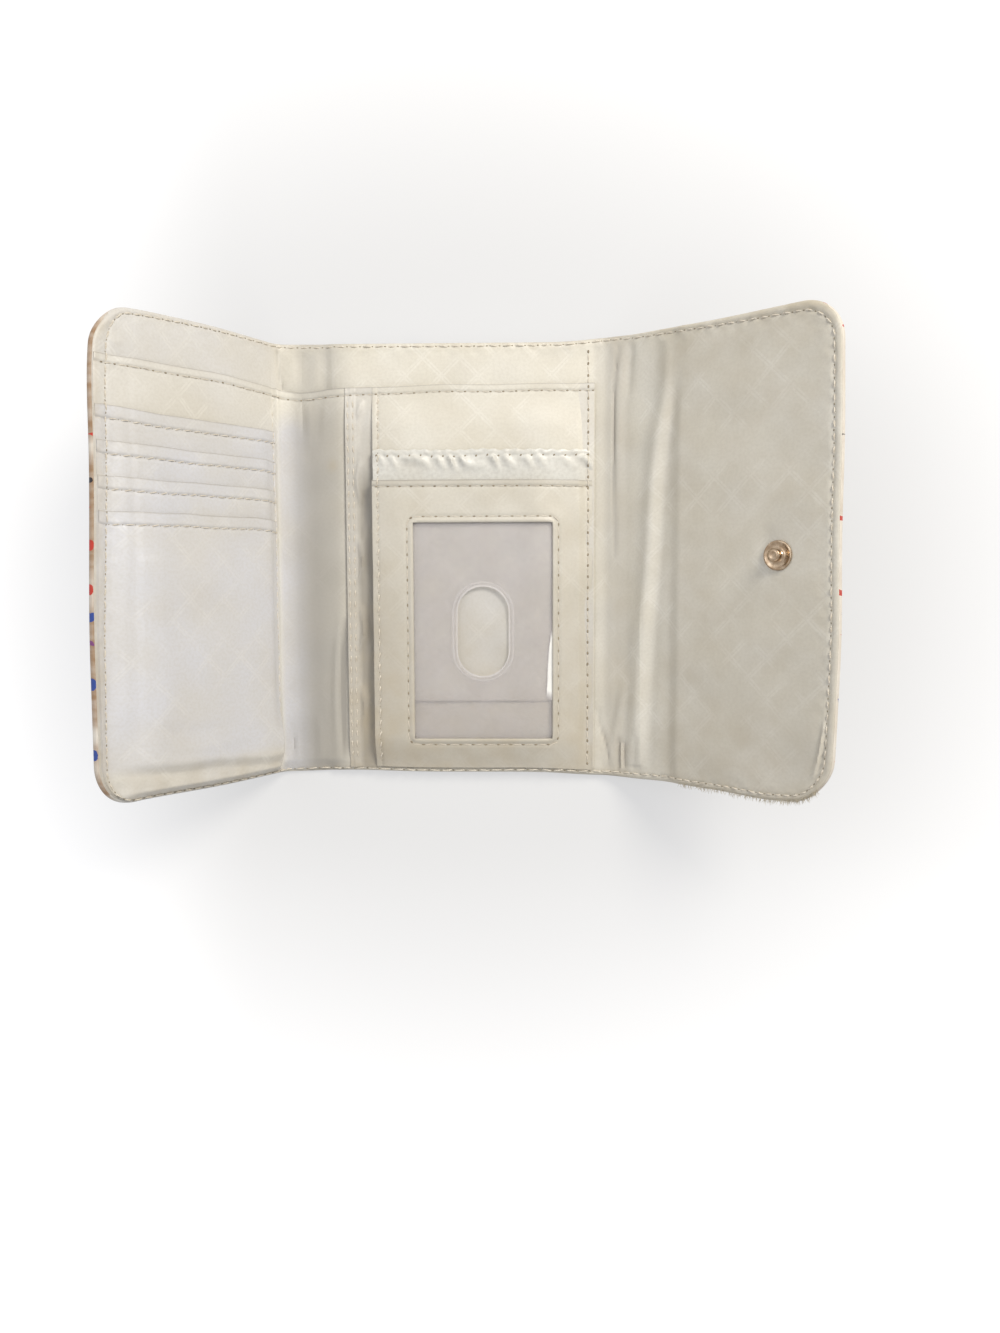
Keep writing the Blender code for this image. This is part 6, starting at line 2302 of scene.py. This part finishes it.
@dataclass
class FrayedEdge:
    """Fibres of the lining that have come loose along the snap flap's foot.

    Args:
        layers: The cloth they come out of.
        finishes: The materials.
        count: How many there are.
        radius: Radius of a fibre at its root.
        reach: How far along the foot from the flap's rounded corner they are found.
        seed: Fixes their places.
    """

    layers: Layers
    finishes: Finishes
    count: int = 340
    radius: float = 0.06 * MM
    reach: float = 46.5 * MM
    seed: int = 17

    def build(self) -> Piece:
        """Makes all the fibres as one piece."""
        scatter = np.random.default_rng(self.seed)
        points, faces = [], []
        for _ in range(self.count):
            s = WALLET.high_s - 4 * MM - self.reach * scatter.uniform(0.0, 1.0) ** 1.5
            corner = max(0.0, s - WALLET.high_s + WALLET.CORNER_RADIUS)
            foot = -WALLET.half + WALLET.CORNER_RADIUS - math.sqrt(WALLET.CORNER_RADIUS**2 - corner**2)
            root = np.array([s, foot + scatter.uniform(0.0, 1.0) * MM])
            way = math.radians(scatter.uniform(-135, -50))
            length = scatter.uniform(0.6, 2.0) * MM
            path = [root]
            for _ in range(4):
                way += scatter.uniform(-0.35, 0.35)
                path.append(path[-1] + length / 4 * np.array([math.cos(way), math.sin(way)]))
            path = np.array(path)
            height = self.layers.lining(root[0], root[1]) + scatter.uniform(-0.25, 0.45) * MM
            rise = height + np.linspace(0.0, scatter.uniform(-0.5, 0.3) * MM, 5)
            self.tube(WALLET.place(path[:, 0], path[:, 1], rise), points, faces)
        piece = make_mesh("frayed_fibres", np.array(points), faces, self.finishes.fray)
        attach(piece, "right_flap")
        LOG.info("frayed_fibres: %d faces", len(faces))
        return piece

    def tube(self, path: Array, points: list[Array], faces: list[list[int]]) -> None:
        """Adds one tapering three-sided fibre along a path."""
        first = len(points)
        way = path[-1] - path[0]
        side = np.cross(way, (0.0, 0.0, 1.0))
        side /= np.linalg.norm(side)
        up = np.cross(side, way / np.linalg.norm(way))
        for place, share in zip(path[:-1], (1.0, 0.95, 0.85, 0.6)):
            for turn in (0.0, math.tau / 3, 2 * math.tau / 3):
                points.append(place + share * self.radius * (math.cos(turn) * side + math.sin(turn) * up))
        points.append(path[-1])
        tip = len(points) - 1
        faces.append([first, first + 2, first + 1])
        for ring in range(3):
            for n in range(3):
                low, high = first + 3 * ring, first + 3 * ring + 3
                faces.append([low + n, low + (n + 1) % 3, high + (n + 1) % 3, high + n])
        faces += [[tip - 3 + n, tip - 3 + (n + 1) % 3, tip] for n in range(3)]


# Snap fastener


@dataclass(frozen=True)
class SnapPart:
    """One turned and pressed part of the snap.

    Args:
        name: The piece's name.
        node: The CAD node that it stands for.
        body: The body that it rides on.
        profile: Distance from its axis and height above the outer face, in millimetres, along its
            outline, with the outside on the right.
    """

    name: str
    node: str
    body: str
    profile: tuple[Point, ...]


STUD = SnapPart(
    "stud_lathed",
    "snap_stud",
    "right_flap",
    (
        (0, 2.3), (3.9, 2.3), (4.2, 2.38), (
            4.32, 2.58
        ), (4.25, 2.77), (4.02, 2.88), (3.74, 2.85), (3.5, 2.76),
        (3.1, 2.7), (2.5, 2.68), (
            2.12, 2.74
        ), (1.82, 2.9), (1.62, 3.15), (1.54, 3.4), (1.52, 4.3), (1.6, 4.52),
        (1.8, 4.66), (
            1.92, 4.86
        ), (1.9, 5.1), (1.74, 5.32), (1.44, 5.46), (1.1, 5.5), (0.82, 5.44), (0.5, 5.38),
        (0, 5.36),
    ),
)
CAP = SnapPart(
    "cap_pressed",
    "snap_cap",
    "right_flap",
    (
        (0, -1.6), (1.6, -1.58), (3.1, -1.5), (4.2, -1.36), (4.96, -1.2), (5.6, -0.98), (
            6.02, -0.78
        ), (6.2, -0.58),
        (6.2, -0.38), (6.06, -0.24), (5.7, -0.18), (0, -0.18),
    ),
)
SOCKET = SnapPart(
    "socket_pressed",
    "snap_socket",
    "left_flap",
    (
        (0, -0.7), (2.1, -0.7), (2.2, -0.8), (2.2, -2.1), (
            2.65, -2.15
        ), (2.65, -3.05), (2.2, -3.08), (2.1, -3.16),
        (2.12, -3.32), (2.3, -3.44), (2.6, -3.47), (3.9, -3.45), (4.3, -3.36), (4.75, -3.08), (5.1, -2.7),
        (5.38, -2.1), (5.48, -1.4), (5.5, -0.5), (5.42, -0.28), (5.2, -0.19), (0, -0.19),
    ),
)


@dataclass
class Snap:
    """The snap fastener's visible parts, turned finely.

    Args:
        finishes: The materials.
        segments: How many sides stand for a circle.
    """

    finishes: Finishes
    segments: int = 64

    def build(self) -> list[Piece]:
        """Makes the stud, its cap and the socket."""
        return [self.turned(part) for part in (STUD, CAP, SOCKET)]

    def turned(self, part: SnapPart) -> Piece:
        """Turns one part's profile about its axis."""
        centre = self.axis(part.node)
        profile = np.array(part.profile) * MM
        angles = np.linspace(0.0, math.tau, self.segments, endpoint=False)
        rings = profile[1:-1]
        across = rings[:, :1] * np.cos(angles)
        up = rings[:, :1] * np.sin(angles)
        height = np.repeat(rings[:, 1:], self.segments, axis=1)
        ends = profile[[0, -1], 1]
        across, up = (np.concatenate([part.ravel(), [0.0, 0.0]]) for part in (across, up))
        height = np.concatenate([height.ravel(), ends])
        points = WALLET.place(centre + across, up, height)
        number = np.arange(rings.shape[0] * self.segments).reshape(-1, self.segments)
        after = np.roll(number, -1, axis=1)
        faces = np.stack([number[:-1], after[:-1], after[1:], number[1:]], axis=-1).reshape(-1, 4).tolist()
        first, last = number.size, number.size + 1
        faces += [[first, int(b), int(a)] for a, b in zip(number[0], after[0])]
        faces += [[int(a), int(b), last] for a, b in zip(number[-1], after[-1])]
        piece = make_mesh(part.name, points, faces, self.finishes.nickel, sharp_degrees=42.0)
        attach(piece, part.body)
        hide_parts(part.node)
        LOG.info("%s: %d faces", part.name, len(faces))
        return piece

    @staticmethod
    def axis(node: str) -> float:
        """Where a part's axis stands along the cloth."""
        low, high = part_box(node)
        middle_x, middle_z = (low.x + high.x) / 2, (low.z + high.z) / 2
        if middle_x < 0:
            side, fold_x, fold_z, start = (
                WALLET.left, -WALLET.left_spine + WALLET.left.fold_x, 0.0, WALLET.card_fold
            )
        else:
            side, fold_x, fold_z, start = WALLET.right, WALLET.right.fold_x, 0.0, WALLET.centre
        out = abs(middle_x - fold_x) * math.cos(side.bend) + (middle_z - fold_z) * math.sin(side.bend)
        return start + side.direction * out


# Stage


class Stage:
    """The plain pale floor, the soft lights and the camera at the photograph's viewpoint."""

    CAMERA_PLACE = (0.0150755, -0.0093, 0.3309)
    CAMERA_TURN_DEGREES = (-4.43, 1.14, -0.21)
    LENS, SENSOR_WIDTH = 27.0, 36.0
    CLIP_START = 0.01
    FLOOR_SIZE = 4.0
    FLOOR_GAP = 0.3 * MM

    def build(self) -> None:
        """Makes the whole stage."""
        self.floor()
        self.world()
        self.lights()
        self.camera()

    def floor(self) -> None:
        """A large floor that looks almost white to the camera and keeps the wallet's shadow."""
        half = self.FLOOR_SIZE / 2
        z = -self.FLOOR_GAP - max(0.0, -CAD_BOX[0].z)
        points = np.array([(-half, -half, z), (half, -half, z), (half, half, z), (-half, half, z)])
        material, tree, shader = start_material("pale_floor")
        where = add(tree, ON_OBJECT)
        # Distance from the wallet's middle, in shares of the area that it darkens
        reach = add(tree, LENGTH, add(tree, STRETCHED, where, (5.6, 6.4, 0.0)))
        parts = add(tree, SPLIT, where).node.outputs
        # It glows more away from the wallet, and more again beyond its left side and its foot
        glow = add(tree, STEP, reach, 0.55, 1.45, 0.545, 0.815)
        for part, share in ((parts[0], (-0.07, -0.14, 0.0, 0.15)), (parts[1], (-0.088, -0.12, 0.0, 0.02))):
            glow = add(tree, ADD, glow, add(tree, STEP, part, *share))
        values = {
            "Base Color": "#8F8E8B",
            "Roughness": 0.9,
            "Specular IOR Level": 0.1,
            "Emission Color": "#FEFEFF",
            "Emission Strength": add(tree, MULTIPLY, glow, self.seen(tree)),
        }
        fill(tree, shader, values)
        floor = make_mesh("floor", points, [[0, 1, 2, 3]], material)
        floor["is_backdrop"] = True

    def world(self) -> None:
        """A pale sky that looks white to the camera."""
        world = bpy.data.worlds.new("studio")
        bpy.context.scene.world = world
        world.use_nodes = True
        tree = world.node_tree
        strength = add(tree, STEP, self.seen(tree), 0.0, 1.0, 0.42, 1.0)
        fill(tree, tree.nodes["Background"], {"Color": "#F6F8FF", "Strength": strength})

    @staticmethod
    def seen(tree: Tree) -> Socket:
        """1 where a surface is seen: by the camera, in a reflection or through the film."""
        rays = add(tree, RAYS).node.outputs
        seen = add(tree, MAXIMUM, rays["Is Camera Ray"], rays["Is Glossy Ray"])
        return add(tree, MAXIMUM, seen, rays["Is Transmission Ray"])

    def lamp(
        self, name: str, place: Sequence[float], aim: Sequence[float], size: float, power: float,
        colour: str,
    ) -> None:
        """Adds a square area lamp.

        Args:
            name: Its name.
            place: Where it stands.
            aim: What it points at.
            size: Its side.
            power: Its watts.
            colour: Its sRGB colour.
        """
        data = bpy.data.lights.new(name, "AREA")
        data.size = size
        data.energy = power
        data.color = linear(colour)[:3]
        lamp = bpy.data.objects.new(name, data)
        bpy.context.scene.collection.objects.link(lamp)
        lamp.location = place
        lamp.rotation_euler = direction_euler(np.array(aim) - np.array(place))

    def lights(self) -> None:
        """A soft key from the upper right, and weak fills from the left and from below."""
        self.lamp("key", (0.42, 0.52, 0.62), (-0.02, 0.02, 0.0), 0.34, 6.9, "#FFFAF2")
        self.lamp("fill", (-0.55, 0.25, 0.60), (0.0, 0.0, 0.0), 0.50, 1.45, "#F4F7FF")
        self.lamp("low_fill", (-0.05, -0.62, 0.34), (0.0, -0.04, 0.0), 0.40, 0.6, "#FFFAF2")

    def camera(self) -> None:
        """The camera that took the photograph, as fitted to the panels' corners."""
        data = bpy.data.cameras.new("camera")
        data.lens = self.LENS
        data.sensor_width = self.SENSOR_WIDTH
        data.sensor_fit = "AUTO"
        data.clip_start = self.CLIP_START
        camera = bpy.data.objects.new("camera", data)
        bpy.context.scene.collection.objects.link(camera)
        camera.location = self.CAMERA_PLACE
        camera.rotation_euler = [math.radians(angle) for angle in self.CAMERA_TURN_DEGREES]
        bpy.context.scene.camera = camera
        bpy.context.scene.view_settings.view_transform = "Standard"


def direction_euler(way: Array) -> tuple[float, float, float]:
    """The turn that points an object's -Z axis along a direction."""
    flat = math.hypot(way[0], way[1])
    return math.atan2(flat, -way[2]), 0.0, math.atan2(-way[0], way[1])


def wallet_layers() -> Layers:
    """The layers, with the creases that use has left in them."""
    lining = (
        Crease(((94.9, 67), (93.4, 58), (93.2, 45), (93.2, 25), (93.7, 0)), 0.5, -0.7, 0.4, 0.5),
        Crease(((96.4, 66), (95.2, 56), (94.9, 40), (95.0, 20)), 0.9, 0.35),
        Crease(((86.6, -48), (87.6, -54), (90.6, -62), (91.8, -68)), 0.55, -0.6, 0.4, 0.3),
        # The long ridge that the snap spine's fold has left, with the valley on its right
        Crease(
            (
                (113.8, 69), (113.6, 57), (112, 47), (109.4, 36), (107.6, 18), (106.6, 0), (104.2, -25),
                (103, -44), (102.4, -66),
            ),
            3.0,
            1.5,
            0.3,
        ),
        Crease(
            (
                (118.2, 69), (118, 57), (116.4, 47), (113.8, 36), (112, 18), (111, 0), (109, -25),
                (107.8, -44), (107, -66),
            ),
            1.7,
            -0.3,
            0.3,
        ),
        Crease(((98.4, -38), (96.4, -48), (93.7, -60)), 1.6, 0.6),
        Crease(((95.9, -57), (96, -62), (95.9, -69)), 0.5, -0.7, 0.4, 0.45),
        Crease(((97.4, -58), (97.5, -63), (97.3, -69)), 0.5, -0.7, 0.4, 0.3),
        Crease(((96.7, -58), (96.8, -63), (96.6, -69)), 0.4, 0.5, 0.4),
        Crease(((85.4, -50), (84.9, -58), (84.6, -68)), 0.7, 0.3, 0.4),
        Crease(((102.5, -56), (102, -61), (101.4, -68)), 0.8, -0.5, 0.4),
        Crease(((166.6, -45), (166, -52), (165.1, -58), (164, -63.5)), 0.45, 0.65),
        Crease(((167.4, -47), (166.9, -53), (166, -59), (164.8, -64)), 0.4, -0.3, 0.7, 0.25),
        Crease(((148.6, 9), (147.6, 1), (149.2, -7)), 2.6, -0.3),
        Crease(((99.5, 69), (99, 62), (98.2, 52)), 1.2, -0.5, 0.4),
        Crease(((-18.6, 69), (-17.6, 63), (-16.2, 55)), 0.6, -0.6, 0.3, 0.4),
        Crease(((-9.4, 69), (-9.4, 62), (-9.8, 54)), 2.0, -0.3, 0.3),
        Crease(((-5.2, 69), (-5.4, 61), (-5.8, 54)), 1.6, 0.35, 0.3),
        Crease(((-1.4, 69), (-1.8, 62), (-2.4, 54)), 1.2, -0.25, 0.3),
        Crease(((-14, 69), (-13.4, 62), (-13, 55)), 2.0, 0.5, 0.3),
        Crease(((-84, 62), (-80.5, 59.5), (-77, 60)), 1.0, 0.25),
        Crease(((-83.5, 57), (-80, 55.4), (-75.5, 56)), 0.9, -0.25),
        Crease(((-83, 53), (-79.5, 53), (-76, 52)), 0.8, 0.22),
    )
    bill = (
        Crease(((-9.8, 54), (-9.5, 47), (-9.9, 40)), 0.7, -0.4),
        Crease(((-7.9, 54), (-7.4, 45), (-7.9, 36)), 0.8, 0.55),
        Crease(((-3.2, 54), (-4.2, 46), (-4.6, 38)), 1.0, -0.4),
        Crease(((-15.6, -52), (-14.6, -60), (-14.9, -67)), 0.6, -0.4),
        Crease(((-13.6, -56), (-13.2, -62), (-13.4, -68)), 0.5, 0.45),
        Crease(((-6.4, -50), (-5.6, -59), (-6.2, -68)), 1.3, 0.35),
        Crease(((2.4, -16), (0.8, -30), (0.1, -46), (0.5, -67)), 1.1, 0.8, 0.6),
        Crease(((3.7, -18), (3.1, -30), (2.7, -46), (3, -66)), 0.8, -0.6, 0.6, 0.9),
    )
    slip = (
        Crease(((12, 52), (10.2, 44), (8.8, 36)), 1.1, -0.6),
        Crease(((10.2, 52), (8.4, 46)), 0.9, 0.8),
        Crease(((9.2, 33), (8.2, 26), (9.4, 18)), 0.9, 1.0),
        Crease(((11.2, 26), (10.2, 14), (8.4, 6)), 0.9, -0.5),
        Crease(((8.2, 8), (9.6, 0), (8.4, -8)), 0.9, 0.9),
        Crease(((8.6, -14), (9.8, -22), (8.4, -30)), 0.9, 0.9),
        Crease(((10.6, -26), (9, -36), (8.6, -44)), 0.9, -0.5),
        Crease(((8.4, -40), (9.8, -48), (8.6, -57)), 0.9, 0.8),
    )
    card = (
        Crease(((-78, -49), (-60, -51), (-40, -50)), 1.6, -0.16),
        Crease(((-70, -54.5), (-52, -56), (-36, -54)), 1.3, 0.16),
    )
    return Layers(creases={"lining": lining, "bill": bill, "slip": slip, "card": card})


def dress_hidden_parts(finishes: Finishes) -> None:
    """Gives the CAD nodes of boards, films and the snap that are still shown their finishes."""
    chosen = {"board": finishes.board, "film": finishes.foil, "snap": finishes.nickel}
    for name, node in frame["nodes"].items():
        for word, material in chosen.items():
            if word in name and not node.hide_render:
                for slot in node.material_slots:
                    slot.material = material


def main() -> None:
    """Builds the wallet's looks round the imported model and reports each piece."""
    logging.basicConfig(level=logging.INFO, format="%(name)s: %(message)s")
    finishes = Finishes()
    layers = wallet_layers()
    for part in (OuterCloth, Lining, BillPocket, CardPockets, PocketBlock):
        part(layers, finishes).build()
    Sewing(layers, finishes).build()
    FrayedEdge(layers, finishes).build()
    Snap(finishes).build()
    dress_hidden_parts(finishes)
    Stage().build()


if __name__ == "__main__":
    main()
